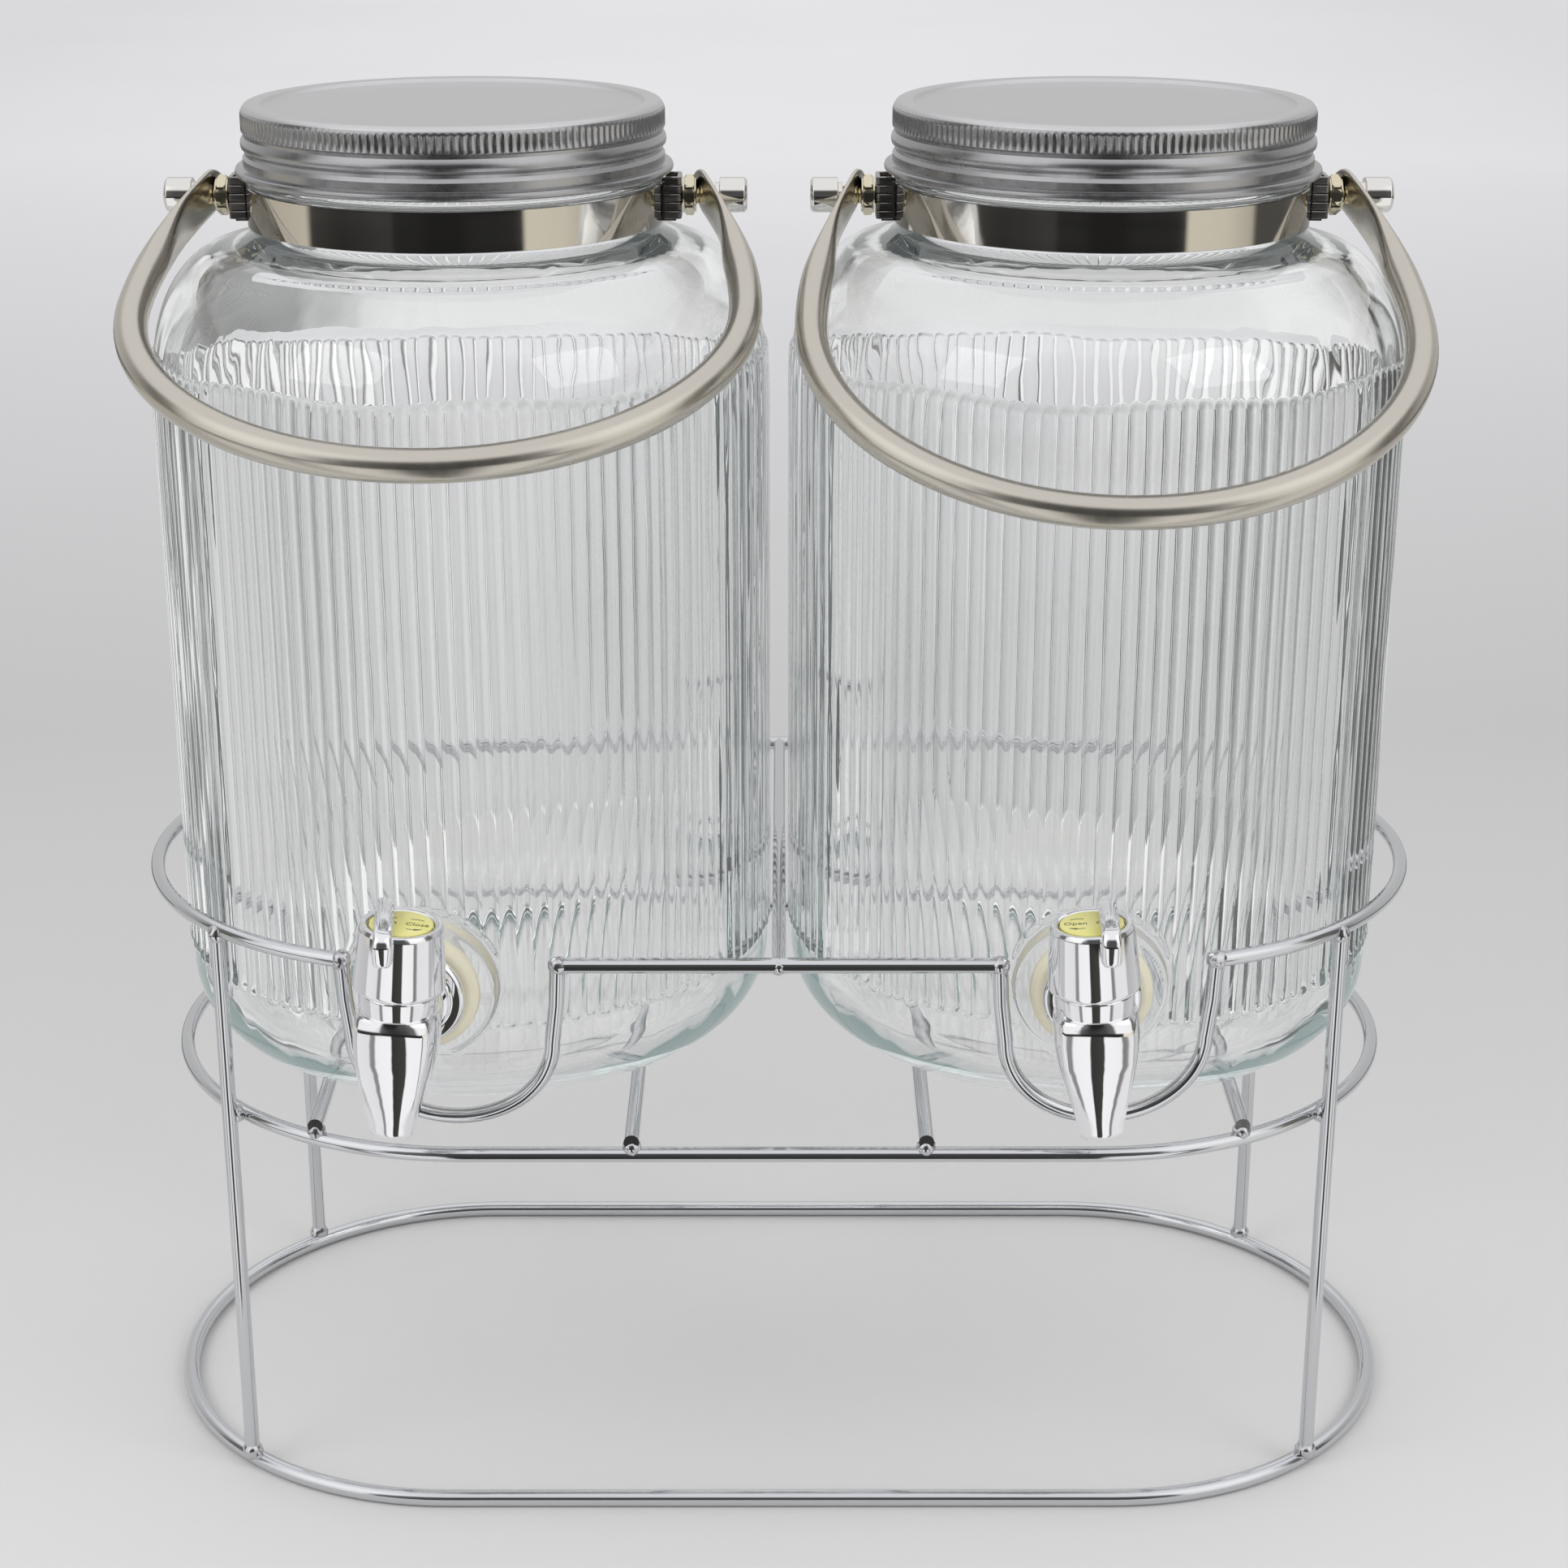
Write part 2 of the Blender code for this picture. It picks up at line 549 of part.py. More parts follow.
def build_rail(stand, chrome):
    """The guard rail: a long wire round the back, a short one at the front, and the bar between the jars."""
    centre = RAIL_HALF_LENGTH - RAIL_HALF_WIDTH
    corner_x = JAR_X + NOTCH_TOP_HALF_WIDTH + WIRE_RADIUS + SEAT_GAP
    start = asin((corner_x - centre) / RAIL_HALF_WIDTH)
    left = arc(-centre, RAIL_HALF_WIDTH, RAIL_HEIGHT, start, pi, RING_STEPS)
    right = arc(centre, RAIL_HALF_WIDTH, RAIL_HEIGHT, pi, 2 * pi - start, RING_STEPS)
    place("rail_outer", swept(left + right, (0, 0, 1), WIRE_RADIUS, False), chrome, stand)
    inner_x = JAR_X - NOTCH_TOP_HALF_WIDTH - WIRE_RADIUS - SEAT_GAP
    straight_wire("rail_front", (-inner_x, -RAIL_HALF_WIDTH, RAIL_HEIGHT),
                  (inner_x, -RAIL_HALF_WIDTH, RAIL_HEIGHT), WIRE_RADIUS, chrome, stand)
    bar_end = RAIL_HALF_WIDTH - WIRE_RADIUS - SEAT_GAP
    straight_wire("divider_bar", (0, -bar_end, RAIL_HEIGHT), (0, bar_end, RAIL_HEIGHT),
                  DIVIDER_WIRE_RADIUS, chrome, stand)


def build_notch(name, side, stand, chrome):
    """A U-shaped wire that dips under the tap; its outer top corner lies on the rail's bend."""
    centre = RAIL_HALF_LENGTH - RAIL_HALF_WIDTH
    outer_x = JAR_X + NOTCH_TOP_HALF_WIDTH
    outer_y = -sqrt(RAIL_HALF_WIDTH ** 2 - (outer_x - centre) ** 2)
    inner = Vector((side * (JAR_X - NOTCH_TOP_HALF_WIDTH), -RAIL_HALF_WIDTH, 0))
    outer = Vector((side * outer_x, outer_y, 0))
    middle = (inner + outer) / 2
    across = (outer - inner).normalized()
    top = RAIL_HEIGHT + WIRE_RADIUS
    depth = NOTCH_BEND_HEIGHT - NOTCH_BOTTOM_HEIGHT
    flat = [(-NOTCH_TOP_HALF_WIDTH, top)]
    for step in range(RING_STEPS + 1):
        angle = pi * step / RING_STEPS
        flat.append((-NOTCH_BEND_HALF_WIDTH * cos(angle), NOTCH_BEND_HEIGHT - depth * sin(angle)))
    flat.append((NOTCH_TOP_HALF_WIDTH, top))
    path = [middle + across * offset + Vector((0, 0, height)) for offset, height in flat]
    normal = across.cross(Vector((0, 0, 1)))
    place(name, swept(path, normal, WIRE_RADIUS, False), chrome, stand)


def build_legs(stand, chrome):
    centre = SHELF_HALF_LENGTH - SHELF_HALF_WIDTH
    reach = SHELF_HALF_WIDTH + 2 * WIRE_RADIUS + SEAT_GAP
    x = centre + reach * cos(LEG_ANGLE)
    y = reach * sin(LEG_ANGLE)
    low = 2 * BASE_WIRE_RADIUS + SEAT_GAP
    high = RAIL_HEIGHT - WIRE_RADIUS - SEAT_GAP
    for row, sign_y in (("front", -1), ("rear", 1)):
        for side, sign_x in (("left", -1), ("right", 1)):
            straight_wire("leg_%s_%s" % (row, side), (sign_x * x, sign_y * y, low),
                          (sign_x * x, sign_y * y, high), WIRE_RADIUS, chrome, stand)


def build_cross_wires(stand, chrome):
    centre = SHELF_HALF_LENGTH - SHELF_HALF_WIDTH
    places = (-OUTER_CROSS_WIRE_X, -INNER_CROSS_WIRE_X, INNER_CROSS_WIRE_X, OUTER_CROSS_WIRE_X)
    for number, x in enumerate(places, 1):
        past_straight = max(abs(x) - centre, 0)
        end = sqrt(SHELF_HALF_WIDTH ** 2 - past_straight ** 2) + WIRE_RADIUS
        straight_wire("cross_wire_%d" % number, (x, -end, CROSS_WIRE_HEIGHT), (x, end, CROSS_WIRE_HEIGHT),
                      WIRE_RADIUS, chrome, stand)


def shoulder_points(root_radius, full_radius, low, high, angles):
    """A rounded shoulder that leaves the straight side smoothly and ends level at the neck."""
    share = 2 / SHOULDER_POWER
    points = []
    for angle in angles:
        radius = root_radius + (full_radius - root_radius) * max(cos(angle), 0) ** share
        points.append((radius, low + (high - low) * sin(angle) ** share))
    return points


def jar_profile():
    foot = JAR_RADIUS - BASE_CORNER
    profile = [(0, PUSH_UP), (foot - FOOT_WIDTH - FOOT_SLOPE, PUSH_UP), (foot - FOOT_WIDTH, 0)]
    for step in range(FOOT_STEPS + 1):
        angle = pi / 2 * step / FOOT_STEPS
        profile.append((foot + (SMOOTH_RADIUS - foot) * sin(angle), BASE_CORNER * (1 - cos(angle))))
    profile += [("ribs", RIB_BOTTOM), ("ribs", RIB_TOP)]
    angles = [radians(degrees) for degrees in (20, 38, 56, 74, 90)]
    profile += shoulder_points(SHOULDER_ROOT_RADIUS, SMOOTH_RADIUS, SHOULDER_START, SHOULDER_TOP, angles)
    bead_top = NECK_TOP + GLASS_BEAD_HEIGHT
    profile += [(NECK_RADIUS, SHOULDER_TOP + NECK_FILLET),
                (NECK_RADIUS, NECK_TOP - GLASS_BEAD_FILLET),
                (GLASS_BEAD_RADIUS, NECK_TOP),
                (GLASS_BEAD_RADIUS, bead_top),
                (FINISH_RADIUS, FINISH_ROOT),
                (FINISH_RADIUS, THREAD_HEIGHT - THREAD_HALF_WIDTH),
                (FINISH_RADIUS + THREAD_DEPTH, THREAD_HEIGHT),
                (FINISH_RADIUS, THREAD_HEIGHT + THREAD_HALF_WIDTH),
                (FINISH_RADIUS, FINISH_TOP),
                (NECK_BORE_RADIUS, FINISH_TOP)]
    inner_top = SHOULDER_TOP - JAR_WALL
    angles = [radians(degrees) for degrees in (90, 60, 30, 0)]
    profile += shoulder_points(NECK_BORE_RADIUS, INNER_RADIUS, SHOULDER_START, inner_top, angles)
    corner = BASE_CORNER - JAR_WALL
    for step in range(INNER_CORNER_STEPS + 1):
        angle = pi / 2 * (1 - step / INNER_CORNER_STEPS)
        radius = INNER_RADIUS - corner + corner * sin(angle)
        profile.append((radius, JAR_FLOOR + corner * (1 - cos(angle))))
    profile.append((0, JAR_FLOOR))
    return profile


def jar_mesh():
    bm = bmesh.new()
    rings = []
    for radius, height in jar_profile():
        if radius == 0:
            rings.append([bm.verts.new((0, 0, height))])
        elif radius == "ribs":
            points = []
            for index in range(2 * RIB_COUNT):
                angle = pi * index / RIB_COUNT
                own = SMOOTH_RADIUS if index % 2 else JAR_RADIUS
                points.append(Vector((own * cos(angle), own * sin(angle), height)))
            rings.append(ring(bm, points))
        else:
            rings.append(ring(bm, circle_points(radius, height, JAR_SIDES)))
    for first, second in zip(rings, rings[1:]):
        bridge(bm, first, second)
    return bm


def build_glass(side_name, axis, tap_angle, materials):
    """The jar with its boss outside, its flat pad inside and the hole for the tap's shank."""
    jar = place(side_name + "_glass_jar", jar_mesh(), materials["glass"], axis, (0, 0, JAR_BASE))
    turn = (pi / 2, 0, tap_angle)
    height = TAP_HEIGHT - JAR_BASE
    boss = turned([(0, BOSS_PAD), (BOSS_RADIUS + BOSS_DRAFT, BOSS_PAD), (BOSS_RADIUS, BOSS_FACE),
                   (0, BOSS_FACE)], TAP_SIDES, closed=False)
    combine(jar, boss, "UNION", (0, 0, height), turn)
    hole = cylinder(TAP_HOLE_RADIUS, BOSS_PAD - CUT_OVERRUN, BOSS_FACE + CUT_OVERRUN, TAP_SIDES)
    combine(jar, hole, "DIFFERENCE", (0, 0, height), turn)


def lid_profile():
    outside = [(LID_CURL_RADIUS - LID_SHEET, 0),
               (LID_CURL_RADIUS, LID_CURL_HEIGHT / 2),
               (LID_SKIRT_RADIUS, LID_CURL_HEIGHT),
               (LID_SKIRT_RADIUS, LID_SKIRT_TOP),
               (LID_GROOVE_RADIUS, LID_GROOVE_HEIGHT),
               (LID_BEAD_RADIUS, LID_BEAD_HEIGHT),
               (LID_WAIST_RADIUS, LID_WAIST_HEIGHT),
               (LID_KNURL_RADIUS, LID_KNURL_BOTTOM),
               (LID_KNURL_RADIUS, LID_KNURL_TOP),
               (LID_RIM_OUTER_RADIUS, LID_TOP),
               (LID_RIM_INNER_RADIUS, LID_TOP),
               (LID_PANEL_RADIUS, LID_PANEL_HEIGHT)]
    under_rim = LID_TOP - LID_SHEET
    inside = [(LID_PANEL_RADIUS, LID_PANEL_HEIGHT - LID_SHEET),
              (LID_RIM_INNER_RADIUS, under_rim),
              (LID_RIM_OUTER_RADIUS - LID_SHEET, under_rim),
              (LID_KNURL_RADIUS - LID_SHEET, LID_KNURL_TOP),
              (LID_WAIST_RADIUS - LID_SHEET, LID_WAIST_HEIGHT),
              (LID_BEAD_RADIUS - LID_SHEET, LID_BEAD_HEIGHT),
              (LID_GROOVE_RADIUS - LID_SHEET, LID_GROOVE_HEIGHT),
              (LID_SKIRT_RADIUS - LID_SHEET, LID_SKIRT_TOP),
              (LID_SKIRT_RADIUS - LID_SHEET, LID_CURL_HEIGHT)]
    return outside, inside


def build_lid(side_name, axis, materials):
    outside, inside = lid_profile()
    profile = outside + [(0, LID_PANEL_HEIGHT)]
    shell = turned(profile, LID_SIDES, closed=False)
    under = turned([(0, LID_PANEL_HEIGHT - LID_SHEET)] + inside, LID_SIDES, closed=False)
    joined = merged([shell, under])
    close_between(joined, outside[0], inside[-1])
    base = JAR_BASE + LID_BASE
    place(side_name + "_lid", joined, materials["lid"], axis, (0, 0, base))
    top = LID_BASE + LID_PANEL_HEIGHT - LID_SHEET - SEAT_GAP
    liner = cylinder(LINER_RADIUS, FINISH_TOP + SEAT_GAP, top, LINER_SIDES)
    place(side_name + "_lid_liner", liner, materials["liner"], axis, (0, 0, JAR_BASE))


def merged(parts):
    whole = bmesh.new()
    for part in parts:
        mesh = bpy.data.meshes.new("joining")
        part.to_mesh(mesh)
        part.free()
        whole.from_mesh(mesh)
        bpy.data.meshes.remove(mesh)
    return whole


def close_between(bm, first, second):
    """Bridges the two open edges of a shell that lie at the given radii and heights."""
    loops = []
    near_share = 0.01
    near = CUT_OVERRUN * near_share
    for radius, height in (first, second):
        found = [vert for vert in bm.verts if vert.is_boundary and abs(vert.co.z - height) < near
                 and abs(vert.co.xy.length - radius) < near]
        found.sort(key=lambda vert: atan2(vert.co.y, vert.co.x) % (2 * pi))
        loops.append(found)
    bridge(bm, loops[0], loops[1])


def half_band_outline():
    """One half of the neck band seen from above, with a flange folded outward at each end."""
    outer_face = FLANGE_HALF_GAP + BAND_SHEET

    def bend(radius, offset, forward):
        limit = asin(offset / radius)
        angles = [limit + (pi - 2 * limit) * step / BAND_STEPS for step in range(BAND_STEPS + 1)]
        points = [(-radius * cos(angle), -radius * sin(angle)) for angle in angles]
        return points if forward else points[::-1]

    inner = bend(BAND_INNER_RADIUS, FLANGE_HALF_GAP, True)
    right_flange = [(FLANGE_REACH, -FLANGE_HALF_GAP), (FLANGE_REACH, -outer_face)]
    outer = bend(BAND_OUTER_RADIUS, outer_face, False)
    left_flange = [(-FLANGE_REACH, -outer_face), (-FLANGE_REACH, -FLANGE_HALF_GAP)]
    return inner + right_flange + outer + left_flange


def build_band(side_name, axis, materials):
    for half, turn in (("front", 0), ("rear", pi)):
        band = extruded(half_band_outline(), 0, BAND_HEIGHT)
        place("%s_band_%s" % (side_name, half), band, materials["polished"], axis,
              (0, 0, JAR_BASE + BAND_BOTTOM), (0, 0, turn))


def build_pivots(side_name, outward, axis, materials):
    """At each side of the neck: a folded clip over the band's flanges, a bolt, a jam nut and a cap nut."""
    outer = CLIP_POCKET_HALF + CLIP_WALL
    inner_end = CLIP_END - CLIP_WALL
    outline = [(CLIP_START, -outer), (CLIP_END, -outer), (CLIP_END, outer), (CLIP_START, outer),
               (CLIP_START, CLIP_POCKET_HALF), (inner_end, CLIP_POCKET_HALF),
               (inner_end, -CLIP_POCKET_HALF), (CLIP_START, -CLIP_POCKET_HALF)]
    head_end = inner_end - SEAT_GAP
    head_start = head_end - BOLT_HEAD_THICKNESS
    head_half = FLANGE_HALF_GAP - SEAT_GAP
    collar_end = CAP_NUT_START + CAP_NUT_COLLAR
    bore_end = BOLT_END + SEAT_GAP
    nut_profile = [(JAM_NUT_CORNER_RADIUS, JAM_NUT_START, HEXAGON),
                   (JAM_NUT_CORNER_RADIUS, JAM_NUT_END, HEXAGON),
                   (BOLT_HOLE_RADIUS, JAM_NUT_END),
                   (BOLT_HOLE_RADIUS, JAM_NUT_START)]
    cap_profile = [(0, bore_end), (BOLT_HOLE_RADIUS, bore_end), (BOLT_HOLE_RADIUS, CAP_NUT_START),
                   (CAP_NUT_COLLAR_RADIUS, CAP_NUT_START), (CAP_NUT_COLLAR_RADIUS, collar_end),
                   (CAP_NUT_RADIUS, collar_end), (CAP_NUT_RADIUS, CAP_NUT_END - CAP_NUT_CHAMFER),
                   (CAP_NUT_RADIUS - CAP_NUT_CHAMFER, CAP_NUT_END), (0, CAP_NUT_END)]
    for end_name, direction in (("outer", outward), ("inner", -outward)):
        where = (axis, (0, 0, JAR_BASE + PIVOT_HEIGHT), (0, 0, 0 if direction > 0 else pi))
        clip = place("%s_clip_%s" % (side_name, end_name),
                     extruded(outline, -CLIP_HEIGHT / 2, CLIP_HEIGHT / 2), materials["polished"], *where)
        hole = cylinder(BOLT_HOLE_RADIUS, inner_end - CUT_OVERRUN, CLIP_END + CUT_OVERRUN, FASTENER_SIDES)
        combine(clip, oriented(hole, (1, 0, 0)), "DIFFERENCE")
        head = cuboid((head_start, -head_half, -BOLT_HEAD_HALF_HEIGHT),
                      (head_end, head_half, BOLT_HEAD_HALF_HEIGHT))
        bolt = place("%s_bolt_%s" % (side_name, end_name), head, materials["satin"], *where)
        shank = cylinder(BOLT_RADIUS, (head_start + head_end) / 2, BOLT_END, FASTENER_SIDES)
        combine(bolt, oriented(shank, (1, 0, 0)), "UNION")
        nut = oriented(turned(nut_profile, FASTENER_SIDES), (1, 0, 0))
        place("%s_jam_nut_%s" % (side_name, end_name), nut, materials["polished"], *where)
        cap = oriented(turned(cap_profile, FASTENER_SIDES, closed=False), (1, 0, 0))
        place("%s_cap_nut_%s" % (side_name, end_name), cap, materials["polished"], *where)


def bail_half_width(reach):
    """How far the tube's centre lies from the jar's axis, at a given reach from the pivot."""
    if reach <= BAIL_WIDEST_REACH:
        share = (BAIL_WIDEST_REACH - reach) / BAIL_WIDEST_REACH
        return BAIL_HALF_WIDTH - (BAIL_HALF_WIDTH - BAIL_EAR_X) * share ** BAIL_EAR_POWER
    share = (reach - BAIL_WIDEST_REACH) / BAIL_BOW_DEPTH
    return BAIL_HALF_WIDTH * sqrt(max(1 - share ** 2, 0))


def bail_section(reach):
    """Half thickness in the handle's plane, half width across it, and how square the section is."""
    blend_share = (reach - EAR_FLAT_REACH) / EAR_BLEND_LENGTH
    blend_share = min(max(blend_share, 0), 1)
    blend_share = blend_share ** 2 * (3 - 2 * blend_share)
    thick = EAR_HALF_THICKNESS + (BAIL_TUBE_RADIUS - EAR_HALF_THICKNESS) * blend_share
    wide = EAR_HALF_WIDTH + (BAIL_TUBE_RADIUS - EAR_HALF_WIDTH) * blend_share
    past = max(EAR_HALF_WIDTH - EAR_END - reach, 0) / EAR_HALF_WIDTH
    wide *= sqrt(max(1 - past ** 2, 0))
    power = 4 - 2 * blend_share
    return thick, wide, power


def bail_mesh():
    """A tube bent to a bow, with its ends pressed flat and rounded; the bow reaches along -Y."""
    ear_shares = (0.985, 0.9, 0.7, 0.4, 0)
    reaches = [-EAR_END * share for share in ear_shares]
    reaches += [BAIL_WIDEST_REACH * (step + 1) / BAIL_ARM_STEPS for step in range(BAIL_ARM_STEPS - 1)]
    path = [(bail_half_width(reach), reach) for reach in reaches]
    for step in range(BAIL_BEND_STEPS + 1):
        angle = pi * step / BAIL_BEND_STEPS
        path.append((BAIL_HALF_WIDTH * cos(angle), BAIL_WIDEST_REACH + BAIL_BOW_DEPTH * sin(angle)))
    path += [(-x, reach) for x, reach in reversed(path[:len(reaches)])]
    bm = bmesh.new()
    rings = []
    for index, (x, reach) in enumerate(path):
        before = Vector(path[max(index - 1, 0)])
        after = Vector(path[min(index + 1, len(path) - 1)])
        run = (after - before).normalized()
        outward = Vector((run.y, run.x, 0))
        thick, wide, power = bail_section(reach)
        section = []
        for step in range(BAIL_SIDES):
            angle = 2 * pi * (step + 0.5) / BAIL_SIDES
            share = 2 / power
            flat = thick * abs(cos(angle)) ** share * (1 if cos(angle) > 0 else -1)
            tall = wide * abs(sin(angle)) ** share * (1 if sin(angle) > 0 else -1)
            section.append(Vector((x, -reach, 0)) + outward * flat + Vector((0, 0, tall)))
        rings.append(ring(bm, section))
    for first, second in zip(rings, rings[1:]):
        bridge(bm, first, second)
    bm.faces.new(rings[0])
    bm.faces.new(rings[-1])
    return bm


def build_bail(side_name, axis, drop, materials):
    bail = place(side_name + "_bail", bail_mesh(), materials["satin"], axis,
                 (0, 0, JAR_BASE + PIVOT_HEIGHT), (drop, 0, 0))
    hole = cylinder(BOLT_HOLE_RADIUS, -BAIL_HALF_WIDTH, BAIL_HALF_WIDTH, FASTENER_SIDES)
    combine(bail, oriented(hole, (1, 0, 0)), "DIFFERENCE")


def spout_section(height, half_width, front, back, power):
    """An egg-shaped section of the spout, flatter in front."""
    points = []
    for step in range(TAP_SIDES):
        angle = 2 * pi * (step + 0.5) / TAP_SIDES
        share = 2 / power
        x = half_width * abs(cos(angle)) ** share * (1 if cos(angle) > 0 else -1)
        depth = back if sin(angle) > 0 else front
        y = depth * abs(sin(angle)) ** share * (1 if sin(angle) > 0 else -1)
        points.append(Vector((x, y, height)))
    return points


def tap_body_mesh():
    """The barrel and spout; each row below the collar is shares of the collar's radius."""
    rows = [(CHAMBER_TOP, BONNET_RADIUS, BONNET_RADIUS, BONNET_RADIUS, 2),
            (COLLAR_TOP, BONNET_RADIUS, BONNET_RADIUS, BONNET_RADIUS, 2),
            (COLLAR_TOP, COLLAR_RADIUS, COLLAR_RADIUS, COLLAR_RADIUS, 2),
            (COLLAR_BOTTOM, COLLAR_RADIUS, COLLAR_RADIUS, COLLAR_RADIUS, 2)]
    spout_shares = ((0.06, 1.07, 1.04, 1.06, 2.3),
                    (0.21, 1.10, 1.11, 1.08, 2.4),
                    (0.39, 1.03, 1.10, 0.93, 2.5),
                    (0.60, 0.86, 0.98, 0.70, 2.6),
                    (0.81, 0.67, 0.80, 0.55, 2.6),
                    (1.00, 0.54, 0.62, 0.50, 2.6))
    for drop_share, wide_share, front_share, back_share, power in spout_shares:
        height = COLLAR_BOTTOM + (SPOUT_TIP - COLLAR_BOTTOM) * drop_share
        rows.append((height, COLLAR_RADIUS * wide_share, COLLAR_RADIUS * front_share,
                     COLLAR_RADIUS * back_share, power))
    bm = bmesh.new()
    rings = [ring(bm, spout_section(*row)) for row in rows]
    for first, second in zip(rings, rings[1:]):
        bridge(bm, first, second)
    bm.faces.new(rings[0])
    bm.faces.new(rings[-1])
    return bm


def build_tap_body(side_name, frame, materials):
    body = place(side_name + "_tap_body", tap_body_mesh(), materials["plated"], frame)
    washer_front = BOSS_PLANE - 2 * SEAT_GAP - OUTER_WASHER_RIM - OUTER_WASHER_RIM
    flange_back = washer_front
    flange_front = flange_back - FLANGE_THICKNESS
    neck_start = CHAMBER_RADIUS + KNOB_WALL
    shank = turned([(0, neck_start), (SHANK_NECK_RADIUS, neck_start), (SHANK_NECK_RADIUS, flange_front),
                    (FLANGE_RADIUS - FLANGE_BEVEL, flange_front),
                    (FLANGE_RADIUS, flange_front + FLANGE_BEVEL), (FLANGE_RADIUS, flange_back),
                    (SHANK_RADIUS, flange_back), (SHANK_RADIUS, SHANK_END), (0, SHANK_END)],
                   TAP_SIDES, closed=False)
    combine(body, oriented(shank, (0, 1, 0)), "UNION")
    chamber = cylinder(CHAMBER_RADIUS, CHAMBER_FLOOR, CHAMBER_TOP + CUT_OVERRUN, TAP_SIDES)
    combine(body, chamber, "DIFFERENCE")
    socket = cylinder(POST_HOLE_RADIUS, DISC_POST_END - SEAT_GAP, CHAMBER_FLOOR + CUT_OVERRUN,
                      FASTENER_SIDES)
    combine(body, socket, "DIFFERENCE")
    outlet = cylinder(SPOUT_BORE_RADIUS, SPOUT_TIP - CUT_OVERRUN, SPOUT_BORE_TOP, FASTENER_SIDES)
    combine(body, outlet, "DIFFERENCE")
    port_y = CHAMBER_RADIUS - PORT_RADIUS - RUNNING_GAP
    port = cylinder(PORT_RADIUS, SPOUT_BORE_TOP - CUT_OVERRUN, CHAMBER_FLOOR + CUT_OVERRUN, FASTENER_SIDES)
    combine(body, moved(port, (0, port_y, 0)), "DIFFERENCE")
    inlet = cylinder(INLET_RADIUS, POCKET_START, SHANK_END + CUT_OVERRUN, FASTENER_SIDES)
    combine(body, oriented(inlet, (0, 1, 0)), "DIFFERENCE")


def build_tap_seals(side_name, frame, materials):
    """The stepped washer outside the glass, and the washer and nut inside it."""
    back = BOSS_PLANE - SEAT_GAP
    middle = back - OUTER_WASHER_RIM
    front = middle - OUTER_WASHER_RIM
    outer = turned([(WASHER_BORE_RADIUS, back), (OUTER_WASHER_RADIUS, back), (OUTER_WASHER_RADIUS, middle),
                    (OUTER_WASHER_STEP_RADIUS, front), (WASHER_BORE_RADIUS, front)], TAP_SIDES)
    place(side_name + "_outer_washer", oriented(outer, (0, 1, 0)), materials["silicone"], frame)
    inner = turned([(WASHER_BORE_RADIUS, INNER_WASHER_START), (INNER_WASHER_RADIUS, INNER_WASHER_START),
                    (INNER_WASHER_RADIUS, INNER_WASHER_END), (WASHER_BORE_RADIUS, INNER_WASHER_END)],
                   TAP_SIDES)
    place(side_name + "_inner_washer", oriented(inner, (0, 1, 0)), materials["silicone"], frame)
    nut = turned([(TAP_NUT_CORNER_RADIUS, TAP_NUT_START, HEXAGON),
                  (TAP_NUT_CORNER_RADIUS, TAP_NUT_END, HEXAGON),
                  (WASHER_BORE_RADIUS, TAP_NUT_END),
                  (WASHER_BORE_RADIUS, TAP_NUT_START)], TAP_NUT_BORE_SIDES)
    place(side_name + "_tap_nut", oriented(nut, (0, 1, 0)), materials["plastic"], frame)


def build_rotor(side_name, frame, turn, materials):
    """The plug: its pocket joins the inlet to the port in the floor when it faces the jar."""
    bottom = CHAMBER_FLOOR + RUNNING_GAP
    corner = TANG_SIDE / sqrt(2)
    flats_share = 1 / (2 * SQUARE)
    rotor = turned([(POST_HOLE_RADIUS, bottom), (ROTOR_RADIUS, bottom), (ROTOR_RADIUS, GROOVE_BOTTOM),
                    (GROOVE_RADIUS, GROOVE_BOTTOM), (GROOVE_RADIUS, GROOVE_TOP), (ROTOR_RADIUS, GROOVE_TOP),
                    (ROTOR_RADIUS, ROTOR_SHOULDER), (corner, ROTOR_SHOULDER, SQUARE),
                    (corner, TANG_TOP, SQUARE), (POST_HOLE_RADIUS, TANG_TOP)], TAP_SIDES, phase=flats_share)
    item = place(side_name + "_tap_rotor", rotor, materials["plastic"], frame, (0, 0, 0), (0, 0, turn))
    pocket = cuboid((-POCKET_HALF_WIDTH, -ROTOR_RADIUS - CUT_OVERRUN, bottom - CUT_OVERRUN),
                    (POCKET_HALF_WIDTH, -POCKET_START, POCKET_TOP))
    combine(item, pocket, "DIFFERENCE")
    middle = GROOVE_RADIUS + (CHAMBER_RADIUS - GROOVE_RADIUS) / 2
    height = (GROOVE_BOTTOM + GROOVE_TOP) / 2
    section = []
    for step in range(ORING_SIDES):
        angle = 2 * pi * step / ORING_SIDES
        section.append((middle + ORING_WIRE_RADIUS * cos(angle), height + ORING_WIRE_RADIUS * sin(angle)))
    place(side_name + "_tap_oring", turned(section, TAP_SIDES), materials["rubber"], frame)


